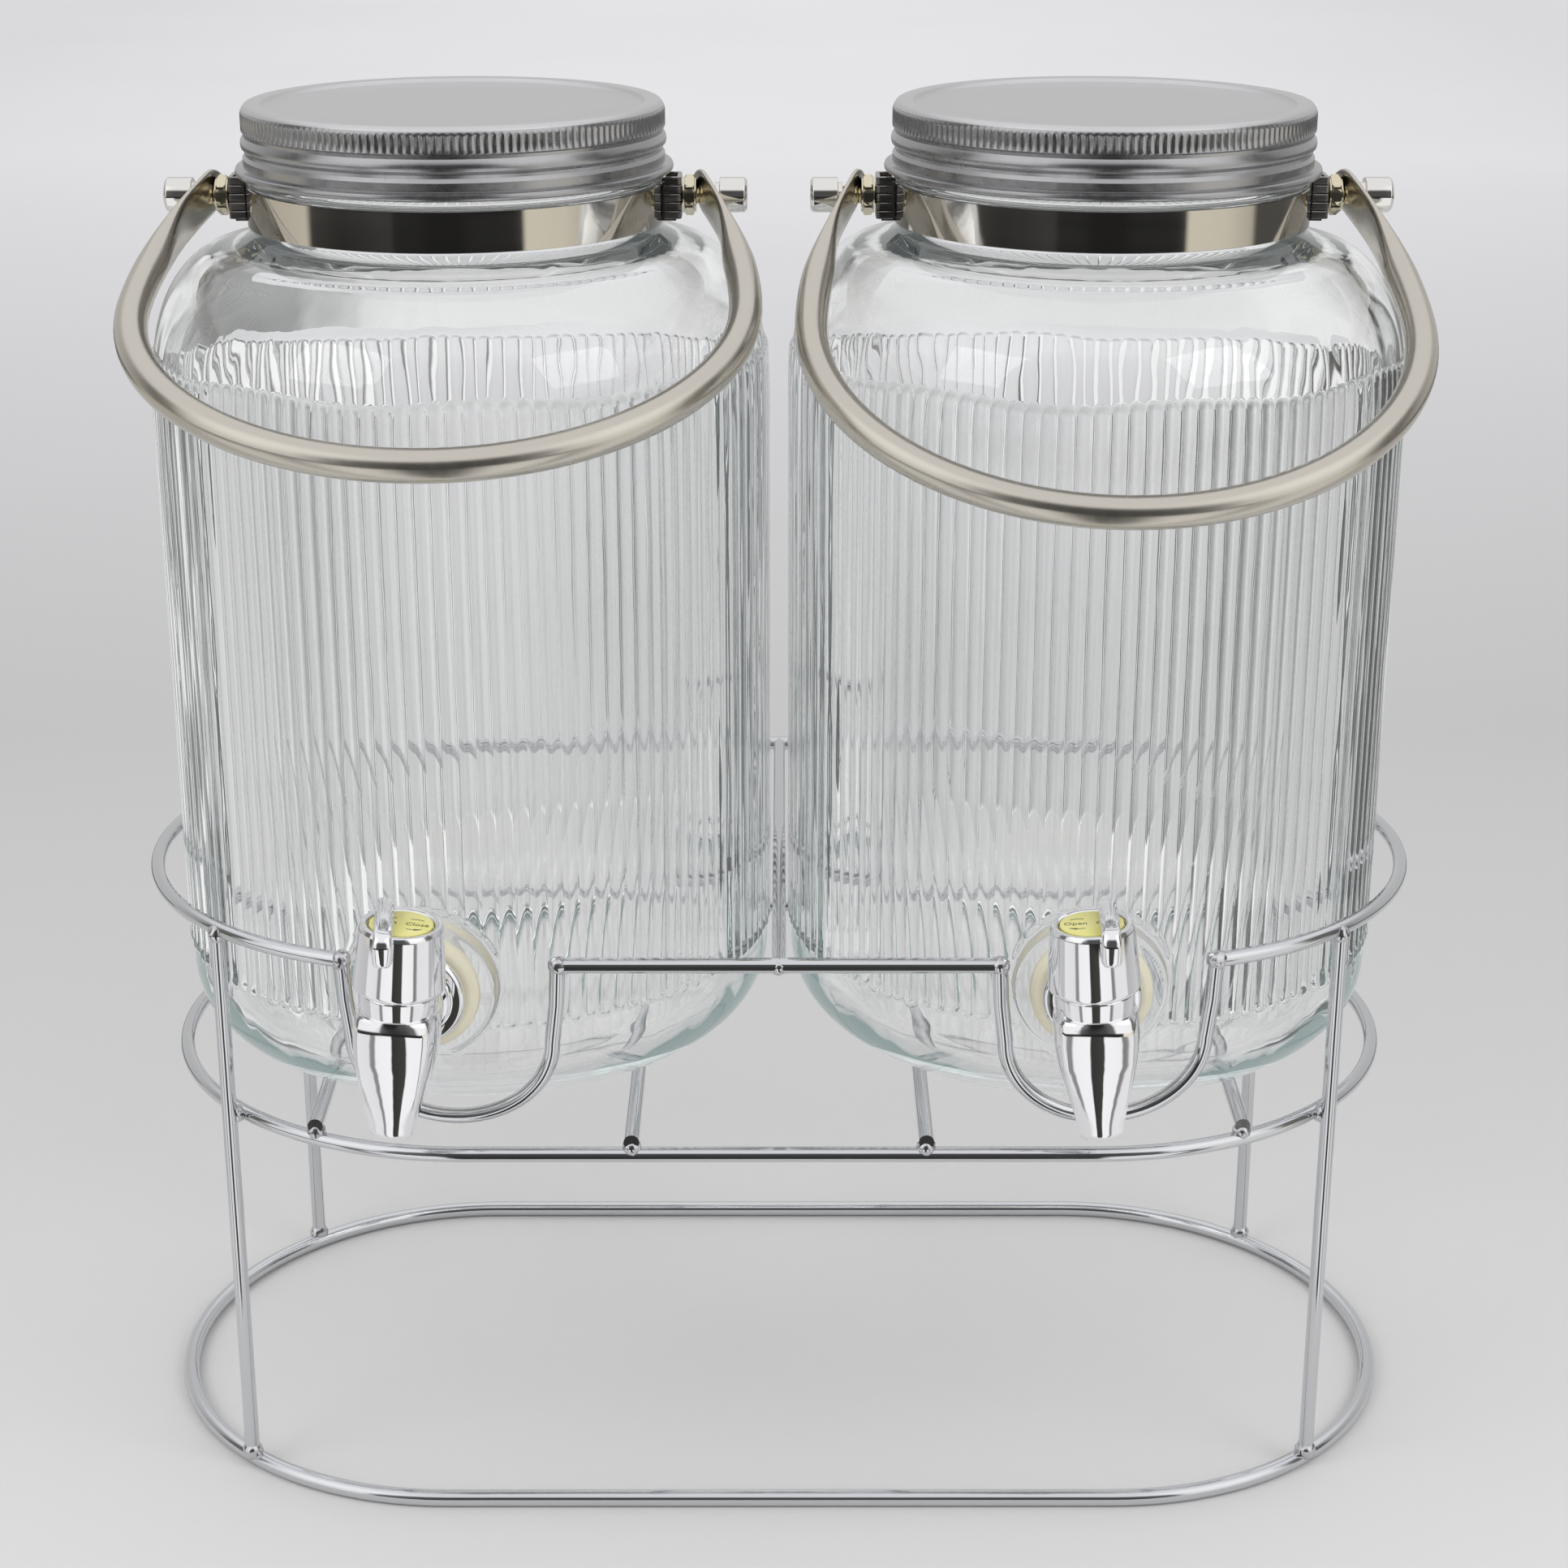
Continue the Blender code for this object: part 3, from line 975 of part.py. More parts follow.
def lever_outline(inset):
    """The lever from the side, as places in Y and Z: a low arch that hangs down the wall at both ends."""
    under = KNOB_TOP + LEVER_DISC_GAP
    rise = LEVER_RISE - inset
    reach = KNOB_TOP_RADIUS + LEVER_OVERHANG - inset
    tip = KNOB_TOP - LEVER_TIP_DROP + inset
    foot = RECESS_RADIUS + RUNNING_GAP
    arch_shares = ((0.0, 1.0), (0.42, 0.95), (0.68, 0.80), (0.86, 0.55), (0.97, 0.22))
    hang_shares = ((1.0, 0.06), (0.985, 0.45), (0.94, 0.80), (0.87, 0.96), (0.78, 1.0))
    points = []
    for end in (1, -1):
        half = [(end * foot, under), (end * foot, tip)]
        for along, down in reversed(hang_shares):
            half.append((end * reach * along, KNOB_TOP + (tip - KNOB_TOP) * down))
        for along, up in reversed(arch_shares[1:]):
            span = end * reach + LEVER_CREST_OFFSET
            half.append((span * along - LEVER_CREST_OFFSET, KNOB_TOP + rise * up))
        points += half if end > 0 else half[::-1]
        if end > 0:
            points.append((-LEVER_CREST_OFFSET, KNOB_TOP + rise))
    return points


def lever_mesh():
    """The lever's side view carried across its width, with its outer edges bevelled."""
    side = LEVER_WIDTH / 2
    slices = ((-side, LEVER_BEVEL), (LEVER_BEVEL - side, 0), (side - LEVER_BEVEL, 0), (side, LEVER_BEVEL))
    bm = bmesh.new()
    rings = [ring(bm, [Vector((x, y, z)) for y, z in lever_outline(inset)]) for x, inset in slices]
    for first, second in zip(rings, rings[1:]):
        bridge(bm, first, second)
    bm.faces.new(rings[0])
    bm.faces.new(rings[-1])
    return moved(bm, (LEVER_OFFSET, 0, 0))


def build_knob(side_name, frame, turn, materials):
    """The cap that is turned by hand, with the arched lever that hides one half of the disc."""
    lip_radius = KNOB_BOTTOM_RADIUS - KNOB_WALL
    top_inner = KNOB_TOP_RADIUS - KNOB_WALL
    knob = turned([(lip_radius, KNOB_BOTTOM),
                   (KNOB_BOTTOM_RADIUS - KNOB_LIP / 2, KNOB_BOTTOM),
                   (KNOB_BOTTOM_RADIUS, KNOB_BOTTOM + KNOB_LIP),
                   (KNOB_TOP_RADIUS, KNOB_TOP - KNOB_RIM_ROUND),
                   (KNOB_TOP_RADIUS - KNOB_RIM_ROUND / 2, KNOB_TOP),
                   (RECESS_RADIUS, KNOB_TOP - KNOB_RIM_ROUND / 2),
                   (RECESS_RADIUS, RECESS_FLOOR),
                   (POST_HOLE_RADIUS, RECESS_FLOOR),
                   (POST_HOLE_RADIUS, KNOB_BOTTOM),
                   (HUB_RADIUS, KNOB_BOTTOM),
                   (HUB_RADIUS, KNOB_WEB_BOTTOM),
                   (top_inner, KNOB_WEB_BOTTOM)], TAP_SIDES)
    item = place(side_name + "_tap_knob", knob, materials["plated"], frame, (0, 0, 0), (0, 0, turn))
    half = TANG_SIDE / 2 + RUNNING_GAP
    socket = cuboid((-half, -half, KNOB_BOTTOM - CUT_OVERRUN), (half, half, SOCKET_TOP))
    combine(item, socket, "DIFFERENCE")
    combine(item, lever_mesh(), "UNION")


def build_disc(side_name, frame, materials):
    """The yellow disc stays still on its own post while the knob turns round it."""
    low = RECESS_FLOOR + RUNNING_GAP
    disc = turned([(0, low + DISC_THICKNESS), (DISC_RADIUS, low + DISC_THICKNESS), (DISC_RADIUS, low),
                   (POST_RADIUS, low), (POST_RADIUS, DISC_POST_END), (0, DISC_POST_END)], TAP_SIDES,
                  closed=False)
    place(side_name + "_knob_disc", disc, materials["yellow"], frame)


def build_tap(side_name, axis, tap_angle, roll, turn, materials):
    place_of_tap = (BARREL_DISTANCE * sin(tap_angle), -BARREL_DISTANCE * cos(tap_angle), TAP_HEIGHT)
    frame = frame_empty(side_name + "_tap_axis", place_of_tap, (0, roll, tap_angle), axis)
    build_tap_body(side_name, frame, materials)
    build_tap_seals(side_name, frame, materials)
    build_rotor(side_name, frame, turn, materials)
    build_knob(side_name, frame, turn, materials)
    build_disc(side_name, frame, materials)


def build_dispenser(side_name, outward, tap, bail_drop, stand, materials):
    tap_angle, roll, knob_turn = tap
    axis = frame_empty(side_name + "_jar_axis", (outward * JAR_X, 0, 0), (0, 0, 0), stand)
    build_glass(side_name, axis, tap_angle, materials)
    build_lid(side_name, axis, materials)
    build_band(side_name, axis, materials)
    build_pivots(side_name, outward, axis, materials)
    build_bail(side_name, axis, bail_drop, materials)
    build_tap(side_name, axis, tap_angle, roll, knob_turn, materials)


def build_stand(stand, chrome):
    build_rings(stand, chrome)
    build_rail(stand, chrome)
    build_notch("left_notch_wire", -1, stand, chrome)
    build_notch("right_notch_wire", 1, stand, chrome)
    build_legs(stand, chrome)
    build_cross_wires(stand, chrome)


def main():
    clear_scene()
    materials = make_materials()
    stand = frame_empty("stand_centre", (0, STAND_SET_BACK, 0))
    build_stand(stand, materials["chrome"])
    left_tap = (LEFT_TAP_ANGLE, LEFT_TAP_ROLL, LEFT_KNOB_TURN)
    right_tap = (RIGHT_TAP_ANGLE, RIGHT_TAP_ROLL, RIGHT_KNOB_TURN)
    build_dispenser("left", -1, left_tap, LEFT_BAIL_DROP, stand, materials)
    build_dispenser("right", 1, right_tap, RIGHT_BAIL_DROP, stand, materials)
    bpy.context.view_layer.update()


main()
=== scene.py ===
import json
from math import asin, atan2, ceil, cos, floor, pi, radians, sin, sqrt, tan

import bpy
from mathutils import Euler, Matrix, Vector, noise


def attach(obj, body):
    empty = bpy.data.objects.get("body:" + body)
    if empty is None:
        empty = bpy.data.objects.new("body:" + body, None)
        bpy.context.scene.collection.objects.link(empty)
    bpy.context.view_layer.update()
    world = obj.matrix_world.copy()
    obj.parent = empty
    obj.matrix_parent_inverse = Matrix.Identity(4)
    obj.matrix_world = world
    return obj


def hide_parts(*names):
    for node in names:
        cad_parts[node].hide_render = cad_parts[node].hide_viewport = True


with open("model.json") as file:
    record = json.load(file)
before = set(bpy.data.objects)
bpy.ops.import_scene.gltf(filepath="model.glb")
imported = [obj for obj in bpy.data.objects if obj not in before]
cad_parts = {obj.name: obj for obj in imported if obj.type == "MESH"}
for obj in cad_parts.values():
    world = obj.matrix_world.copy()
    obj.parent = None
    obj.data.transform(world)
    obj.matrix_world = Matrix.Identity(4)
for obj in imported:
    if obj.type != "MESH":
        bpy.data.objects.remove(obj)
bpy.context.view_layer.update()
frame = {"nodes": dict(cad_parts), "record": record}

MM = 0.001
SET_BACK = 16.4
SIDES = (("left", -1), ("right", 1))

# Stand
WIRE_R, BASE_R, DIVIDER_R = 2.0, 2.25, 1.75
BASE_OVAL, SHELF_OVAL, RAIL_OVAL = (171.5, 82.0), (165.5, 84.5), (170.0, 85.0)
BASE_Z, SHELF_Z, CROSS_Z, RAIL_Z = 2.2, 106.0, 110.3, 158.7
CROSS_X = (-119.5, -37.6, 37.6, 119.5)
LEG_X, LEG_Y = 144.34, 62.24
NOTCH_TOP, NOTCH_BEND, NOTCH_BEND_Z, NOTCH_LOW_Z = 27.3, 25.5, 138.0, 116.4

# Jars
JAR_X, JAR_Z = 82.5, 112.6
REACH_BACK = 103.2
RIBS, RIB_DEPTH, RIB_LOW, RIB_HIGH = 120, 0.75, 26.0, 187.0
SMOOTH_R, WALL = 79.4, 4.0
TAP_Z, BOSS_R, BOSS_FACE = 150.5, 18.5, 81.2
TAP_ANGLE = {"left": radians(-5.6), "right": radians(-2.75)}
TAP_ROLL = {"left": radians(4.4), "right": radians(-4.2)}
KNOB_TURN = {"left": radians(190.5), "right": 0.0}
BAIL_DROP = {"left": radians(23.0), "right": radians(30.0)}
PIVOT_Z = 336.7
LID_Z, PANEL_FROM = 343.2, 15.0
BAND_Z = 330.6


# ---------------------------------------------------------------- mesh helpers
def body_of_node(node):
    for body, members in frame["record"]["behaviour"]["bodies"].items():
        if node in members:
            return body


def slot_of_node(node):
    for row in frame["record"]["subparts"]:
        if row["node"] == node:
            return row["material_slot"]


def add(name, verts, faces, material, body, sharp=35, slot=None, matrix=None):
    """Makes one piece from points in millimetres and lets it ride on a body."""
    mesh = bpy.data.meshes.new(name)
    if matrix is not None:
        verts = [matrix @ Vector(v) for v in verts]
    mesh.from_pydata([(v[0] * MM, v[1] * MM, v[2] * MM) for v in verts], [], faces)
    mesh.materials.append(material)
    mesh.shade_smooth()
    mesh.set_sharp_from_angle(angle=radians(sharp))
    item = bpy.data.objects.new(name, mesh)
    bpy.context.scene.collection.objects.link(item)
    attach(item, body)
    return item


def stand_in(node, shape, material, sharp=35, matrix=None):
    """A finer piece shown in place of a CAD node."""
    verts, faces = shape
    item = add(node + "_fine", verts, faces, material, body_of_node(node), sharp, slot_of_node(node), matrix)
    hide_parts(node)
    return item


def joined(*shapes):
    verts, faces = [], []
    for shape_verts, shape_faces in shapes:
        base = len(verts)
        verts += shape_verts
        faces += [tuple(base + i for i in face) for face in shape_faces]
    return verts, faces


def shifted(shape, matrix):
    return [matrix @ Vector(v) for v in shape[0]], shape[1]


def grid_faces(rows, columns, start=0, wrap=True):
    faces = []
    for row in range(rows - 1):
        for column in range(columns if wrap else columns - 1):
            a = start + row * columns + column
            b = start + row * columns + (column + 1) % columns
            faces.append((a, b, b + columns, a + columns))
    return faces


def rounded(profile, radius, steps=3):
    """An open polyline with its inner corners rounded."""
    result = [profile[0]]
    for before, corner, after in zip(profile, profile[1:], profile[2:]):
        p, c, n = Vector(before), Vector(corner), Vector(after)
        cut = min(radius, (p - c).length * 0.45, (n - c).length * 0.45)
        start, end = c + (p - c).normalized() * cut, c + (n - c).normalized() * cut
        for step in range(steps + 1):
            t = step / steps
            point = start * (1 - t) ** 2 + c * 2 * t * (1 - t) + end * t * t
            result.append((point.x, point.y))
    result.append(profile[-1])
    return result


def lathe(profile, segments, reshape=None, closed=False):
    """Turns (radius, height) points round Z, from the bottom of the outside upward so that faces look out.
    reshape(radius, height, angle) may change a radius."""
    verts, faces = [], []
    for radius, height in profile:
        for step in range(segments):
            angle = 2 * pi * step / segments
            r = reshape(radius, height, angle) if reshape else radius
            verts.append((r * cos(angle), r * sin(angle), height))
    rows = len(profile)
    faces = grid_faces(rows, segments)
    if closed:
        last = (rows - 1) * segments
        for step in range(segments):
            after = (step + 1) % segments
            faces.append((last + step, last + after, after, step))
    return verts, faces


def tube(path, normal, section, closed=False, caps=True):
    """Sweeps a section along a flat path. section(share along the path) gives offsets (across, up) where across
    lies in the path's plane and up along its normal."""
    normal = Vector(normal).normalized()
    points = [Vector(p) for p in path]
    count = len(points)
    verts = []
    for index, point in enumerate(points):
        before = points[index - 1] if index or closed else point
        after = points[(index + 1) % count] if index + 1 < count or closed else point
        across = (after - before).normalized().cross(normal).normalized()
        offsets = section(index / (count - 1))
        verts += [point + across * a + normal * b for a, b in offsets]
    sides = len(offsets)
    faces = [tuple(reversed(face)) for face in grid_faces(count, sides)]
    if closed:
        last = (count - 1) * sides
        for step in range(sides):
            after = (step + 1) % sides
            faces.append((step, after, last + after, last + step))
    elif caps:
        faces.append(tuple(range(sides)))
        faces.append(tuple(reversed(range((count - 1) * sides, count * sides))))
    return verts, faces


def circle(radius, sides=16):
    return lambda share: [(radius * cos(2 * pi * k / sides), radius * sin(2 * pi * k / sides))
                          for k in range(sides)]


def extruded(outline, low, high, inset=0.0):
    """A prism between two heights, with narrow chamfers where inset is set."""
    count = len(outline)
    levels = [(low, inset), (low + inset, 0), (high - inset, 0), (high, inset)] if inset else [(low, 0), (high, 0)]
    area = sum(a[0] * b[1] - b[0] * a[1] for a, b in zip(outline, outline[1:] + outline[:1]))
    if area < 0:
        outline = outline[::-1]
    verts = []
    for height, shrink in levels:
        for index, point in enumerate(outline):
            p, before, after = Vector(point), Vector(outline[index - 1]), Vector(outline[(index + 1) % count])
            run = (after - p).normalized() + (p - before).normalized()
            inward = Vector((-run.y, run.x)).normalized()
            p = p + inward * shrink
            verts.append((p.x, p.y, height))
    faces = grid_faces(len(levels), count)
    faces.append(tuple(reversed(range(count))))
    faces.append(tuple(range((len(levels) - 1) * count, len(levels) * count)))
    return verts, faces


def axis_matrix(direction):
    return Vector((0, 0, 1)).rotation_difference(Vector(direction)).to_matrix().to_4x4()


# ---------------------------------------------------------------- materials
def new_material(name, colour, metallic, roughness):
    material = bpy.data.materials.new(name)
    material.use_nodes = True
    shader = material.node_tree.nodes["Principled BSDF"]
    shader.inputs["Base Color"].default_value = (*colour, 1)
    shader.inputs["Metallic"].default_value = metallic
    shader.inputs["Roughness"].default_value = roughness
    return material, shader, material.node_tree.nodes, material.node_tree.links


def math_maker(nodes, links):
    """A short way to write shader sums: math(operation, value or socket, ...) gives a socket."""
    def math(operation, *values):
        node = nodes.new("ShaderNodeMath")
        node.operation = operation
        for socket, value in zip(node.inputs, values):
            if isinstance(value, (int, float)):
                socket.default_value = value
            else:
                links.new(value, socket)
        return node.outputs[0]

    return math


def noise_node(nodes, links, scale, detail=3.0, stretch=(1, 1, 1), roughness=0.55):
    place = nodes.new("ShaderNodeTexCoord")
    mapping = nodes.new("ShaderNodeMapping")
    mapping.inputs["Scale"].default_value = stretch
    texture = nodes.new("ShaderNodeTexNoise")
    texture.inputs["Scale"].default_value = scale
    texture.inputs["Detail"].default_value = detail
    texture.inputs["Roughness"].default_value = roughness
    links.new(place.outputs["Object"], mapping.inputs["Vector"])
    links.new(mapping.outputs["Vector"], texture.inputs["Vector"])
    return texture


def vary(nodes, links, texture, socket, low, high):
    ramp = nodes.new("ShaderNodeMapRange")
    ramp.inputs["From Min"].default_value = 0.3
    ramp.inputs["From Max"].default_value = 0.7
    ramp.inputs["To Min"].default_value = low
    ramp.inputs["To Max"].default_value = high
    links.new(texture.outputs["Fac"], ramp.inputs["Value"])
    links.new(ramp.outputs["Result"], socket)


def colour_between(nodes, links, texture, socket, first, second, low=0.35, high=0.65):
    ramp = nodes.new("ShaderNodeValToRGB")
    ramp.color_ramp.elements[0].position = low
    ramp.color_ramp.elements[0].color = (*first, 1)
    ramp.color_ramp.elements[1].position = high
    ramp.color_ramp.elements[1].color = (*second, 1)
    links.new(texture.outputs["Fac"], ramp.inputs["Fac"])
    links.new(ramp.outputs["Color"], socket)


def bump(nodes, links, texture, shader, distance, strength=1.0):
    node = nodes.new("ShaderNodeBump")
    node.inputs["Distance"].default_value = distance * MM
    node.inputs["Strength"].default_value = strength
    links.new(texture.outputs["Fac"], node.inputs["Height"])
    links.new(node.outputs["Normal"], shader.inputs["Normal"])


def chrome_material(name, colour, low, high, ripple):
    material, shader, nodes, links = new_material(name, colour, 1.0, low)
    vary(nodes, links, noise_node(nodes, links, 60), shader.inputs["Roughness"], low, high)
    bump(nodes, links, noise_node(nodes, links, 120, 2), shader, ripple)
    return material


def glass_material():
    material, shader, nodes, links = new_material("jar_glass", (1, 1, 1), 0.0, 0.0)
    shader.inputs["Transmission Weight"].default_value = 1.0
    shader.inputs["IOR"].default_value = 1.5
    bump(nodes, links, noise_node(nodes, links, 55, 2, (1, 1, 0.35)), shader, 0.10)
    absorb = nodes.new("ShaderNodeVolumeAbsorption")
    absorb.inputs["Color"].default_value = (0.50, 0.82, 0.79, 1)
    absorb.inputs["Density"].default_value = 2.2
    links.new(absorb.outputs["Volume"], nodes["Material Output"].inputs["Volume"])
    # Painted light: the glass glows faintly for rays that have bounced off glass more than three times, brighter and
    # greener at the thick base than higher up.
    place = nodes.new("ShaderNodeTexCoord")
    split = nodes.new("ShaderNodeSeparateXYZ")
    links.new(place.outputs["Object"], split.inputs["Vector"])
    height = nodes.new("ShaderNodeMapRange")
    height.interpolation_type = "SMOOTHSTEP"
    height.inputs["From Min"].default_value = (JAR_Z + 16) * MM
    height.inputs["From Max"].default_value = (JAR_Z + 25) * MM
    links.new(split.outputs["Z"], height.inputs["Value"])
    ramp = nodes.new("ShaderNodeValToRGB")
    ramp.color_ramp.elements[0].color = (0.125, 0.160, 0.158, 1)
    ramp.color_ramp.elements[1].color = (0.052, 0.056, 0.056, 1)
    links.new(height.outputs["Result"], ramp.inputs["Fac"])
    links.new(ramp.outputs["Color"], shader.inputs["Emission Color"])
    path = nodes.new("ShaderNodeLightPath")
    painted_glow_on = math_maker(nodes, links)("GREATER_THAN", path.outputs["Glossy Depth"], 3.5)
    links.new(painted_glow_on, shader.inputs["Emission Strength"])
    return material


def brushed_material(name, colour, roughness, stretch, scale=90, spread=0.1, ripple=0.02):
    material, shader, nodes, links = new_material(name, colour, 1.0, roughness)
    grain = noise_node(nodes, links, scale, 4, stretch)
    vary(nodes, links, grain, shader.inputs["Roughness"], roughness - spread / 2, roughness + spread / 2)
    bump(nodes, links, grain, shader, ripple)
    return material


def moulded_material(name, colour, second, roughness, ripple=0.03, soft=0.0):
    material, shader, nodes, links = new_material(name, colour, 0.0, roughness)
    texture = noise_node(nodes, links, 150, 3)
    colour_between(nodes, links, texture, shader.inputs["Base Color"], colour, second)
    bump(nodes, links, texture, shader, ripple)
    shader.inputs["Subsurface Weight"].default_value = soft
    shader.inputs["Subsurface Radius"].default_value = (0.004, 0.003, 0.002)
    return material


CHROME = chrome_material("wire_chrome", (0.66, 0.67, 0.69), 0.04, 0.12, 0.04)
WELD = chrome_material("weld_chrome", (0.60, 0.60, 0.62), 0.06, 0.24, 0.25)
GLASS = glass_material()
# Painted light and shade: the lid is one satin metal in two copies, a darker one for its sides and a lighter one for
# the upward faces of its top.
LID_SHADED_SIDE = brushed_material("lid_satin_shaded_side", (0.42, 0.42, 0.43), 0.25, (1, 1, 1), 400, 0.08, 0.006)
LID_LIT_PANEL = brushed_material("lid_panel_satin_lit", (0.66, 0.66, 0.665), 0.36, (1, 1, 1), 400, 0.08, 0.006)
LINER = moulded_material("lid_liner_white", (0.80, 0.80, 0.78), (0.74, 0.74, 0.72), 0.6)
BAND = brushed_material("band_mirror", (0.62, 0.60, 0.57), 0.07, (0.05, 0.05, 1), 160, 0.04, 0.003)
# Painted reflection: the clip steel has a dark colour that stands in for the dark surroundings its mirror finish
# reflects.
CLIP_PAINTED_DARK = brushed_material("clip_steel_painted_dark", (0.30, 0.29, 0.28), 0.20, (0.1, 0.1, 2), 220, 0.14, 0.02)
NUT = brushed_material("nut_nickel", (0.74, 0.67, 0.50), 0.12, (1, 1, 1), 200, 0.06, 0.004)
CAP = brushed_material("cap_nut_nickel", (0.80, 0.785, 0.75), 0.07, (1, 1, 1), 200, 0.04, 0.003)
BAIL = brushed_material("bail_satin", (0.60, 0.565, 0.50), 0.25, (1, 1, 1), 300, 0.05, 0.002)
TAP = chrome_material("tap_plating", (0.88, 0.88, 0.90), 0.015, 0.05, 0.03)
NYLON = moulded_material("nylon_white", (0.74, 0.74, 0.72), (0.70, 0.70, 0.68), 0.42)
YELLOW = moulded_material("disc_yellow", (0.80, 0.76, 0.26), (0.84, 0.80, 0.33), 0.42, 0.01)
INK = moulded_material("disc_ink", (0.05, 0.06, 0.03), (0.08, 0.09, 0.05), 0.5, 0.0)
SILICONE = moulded_material("washer_silicone", (0.80, 0.76, 0.60), (0.76, 0.72, 0.56), 0.42, 0.02, 0.35)
RUBBER = moulded_material("oring_rubber", (0.03, 0.03, 0.03), (0.05, 0.05, 0.05), 0.6)


# ---------------------------------------------------------------- stand
def oval(half_length, half_width, height, steps=56):
    centre = half_length - half_width
    points = []
    for middle, start in ((-centre, pi / 2), (centre, -pi / 2)):
        for step in range(steps + 1):
            angle = start + pi * step / steps
            points.append((middle + half_width * cos(angle), SET_BACK + half_width * sin(angle), height))
        straight = 2 * centre
        for step in range(1, 8):
            share = step / 8
            x = middle - (1 if middle > 0 else -1) * straight * share
            points.append((x, SET_BACK + half_width * sin(start + pi), height))
    return points


def wire(node, path, radius, normal=(0, 0, 1), closed=False):
    stand_in(node, tube(path, normal, circle(radius), closed), CHROME)


def build_stand():
    wire("base_ring", oval(*BASE_OVAL, BASE_Z), BASE_R, closed=True)
    wire("shelf_ring", oval(*SHELF_OVAL, SHELF_Z), WIRE_R, closed=True)
    length, width = RAIL_OVAL
    centre = length - width
    corner = asin((JAR_X + NOTCH_TOP - centre) / width)
    rail = []
    for middle, start, end in ((-centre, pi * 1.5 - corner, pi / 2), (centre, pi / 2, corner - pi / 2)):
        for step in range(73):
            angle = start + (end - start) * step / 72
            rail.append((middle + width * cos(angle), SET_BACK + width * sin(angle), RAIL_Z))
    wire("rail_outer", rail, WIRE_R)
    front_y = SET_BACK - width
    inner = JAR_X - NOTCH_TOP
    wire("rail_front", [(-inner, front_y, RAIL_Z), (0, front_y, RAIL_Z), (inner, front_y, RAIL_Z)], WIRE_R)
    wire("divider_bar", [(0, front_y + 1, RAIL_Z), (0, SET_BACK, RAIL_Z), (0, SET_BACK + width - 1, RAIL_Z)], DIVIDER_R)
    beads = []
    for side, sign in SIDES:
        outer_x = JAR_X + NOTCH_TOP
        outer_y = SET_BACK - sqrt(width ** 2 - (outer_x - centre) ** 2)
        a, b = Vector((sign * inner, front_y, 0)), Vector((sign * outer_x, outer_y, 0))
        middle, across = (a + b) / 2, (b - a).normalized()
        flat = [(-NOTCH_TOP, RAIL_Z + 1), (-NOTCH_TOP * 0.98, (RAIL_Z + NOTCH_BEND_Z) / 2)]
        for step in range(49):
            angle = pi * step / 48
            flat.append((-NOTCH_BEND * cos(angle), NOTCH_BEND_Z - (NOTCH_BEND_Z - NOTCH_LOW_Z) * sin(angle)))
        flat += [(NOTCH_TOP * 0.98, (RAIL_Z + NOTCH_BEND_Z) / 2), (NOTCH_TOP, RAIL_Z + 1)]
        path = [middle + across * offset + Vector((0, 0, height)) for offset, height in flat]
        wire(side + "_notch_wire", path, WIRE_R, across.cross(Vector((0, 0, 1))))
        beads += [((a.x, a.y, RAIL_Z), 2.5), ((b.x, b.y, RAIL_Z), 2.6)]
        for row, sign_y in (("front", -1), ("rear", 1)):
            x, y = sign * LEG_X, SET_BACK + sign_y * LEG_Y
            wire("leg_%s_%s" % (row, side), [(x, y, 3), (x, y, 80), (x, y, RAIL_Z)], WIRE_R, (0, 1, 0))
            ring = Vector((x - sign * (SHELF_OVAL[0] - SHELF_OVAL[1]), y - SET_BACK, 0)).normalized()
            shelf_at = Vector((x, y, SHELF_Z)) - ring * 2.0
            beads += [((x, y, 4.6), 2.9), (tuple(shelf_at), 2.6), ((x, y, RAIL_Z - 1.0), 2.6)]
    beads += [((0, front_y, RAIL_Z - 0.3), 2.3), ((0, SET_BACK + width, RAIL_Z - 0.3), 2.3)]
    for number, x in enumerate(CROSS_X, 1):
        past = max(abs(x) - (SHELF_OVAL[0] - SHELF_OVAL[1]), 0)
        end = sqrt(SHELF_OVAL[1] ** 2 - past ** 2)
        path = [(x, SET_BACK - end - 1.8, CROSS_Z), (x, SET_BACK, CROSS_Z), (x, SET_BACK + end + 1.8, CROSS_Z)]
        wire("cross_wire_%d" % number, path, WIRE_R)
        beads += [((x, SET_BACK - end, SHELF_Z + 2.2), 2.5), ((x, SET_BACK + end, SHELF_Z + 2.2), 2.5)]
    for number, (place, size) in enumerate(beads):
        shape = weld_bead(Vector(place), size, number)
        add("weld_bead_%02d" % number, *shape, WELD, "stand", slot="chromed_wire")


def weld_bead(place, size, seed):
    """A small lump of weld metal, a little uneven."""
    verts, rows, columns = [], 9, 14
    for row in range(rows):
        polar = pi * row / (rows - 1)
        for column in range(columns):
            angle = 2 * pi * column / columns
            way = Vector((sin(polar) * cos(angle), sin(polar) * sin(angle), -cos(polar)))
            lump = 1 + 0.16 * noise.noise(way * 1.7 + Vector((seed * 3.1, 0, 0)))
            point = place + way * size * lump
            point.y = min(point.y, REACH_BACK)
            verts.append(point)
    return verts, grid_faces(rows, columns)


# ---------------------------------------------------------------- glass
def shoulder_radius(root, full, low, high, z):
    share = min(max((z - low) / (high - low), 0), 1)
    return root + (full - root) * (1 - share ** 2.2) ** (1 / 2.2)


def step_between(value, low, high):
    share = min(max((value - low) / (high - low), 0), 1)
    return share * share * (3 - 2 * share)


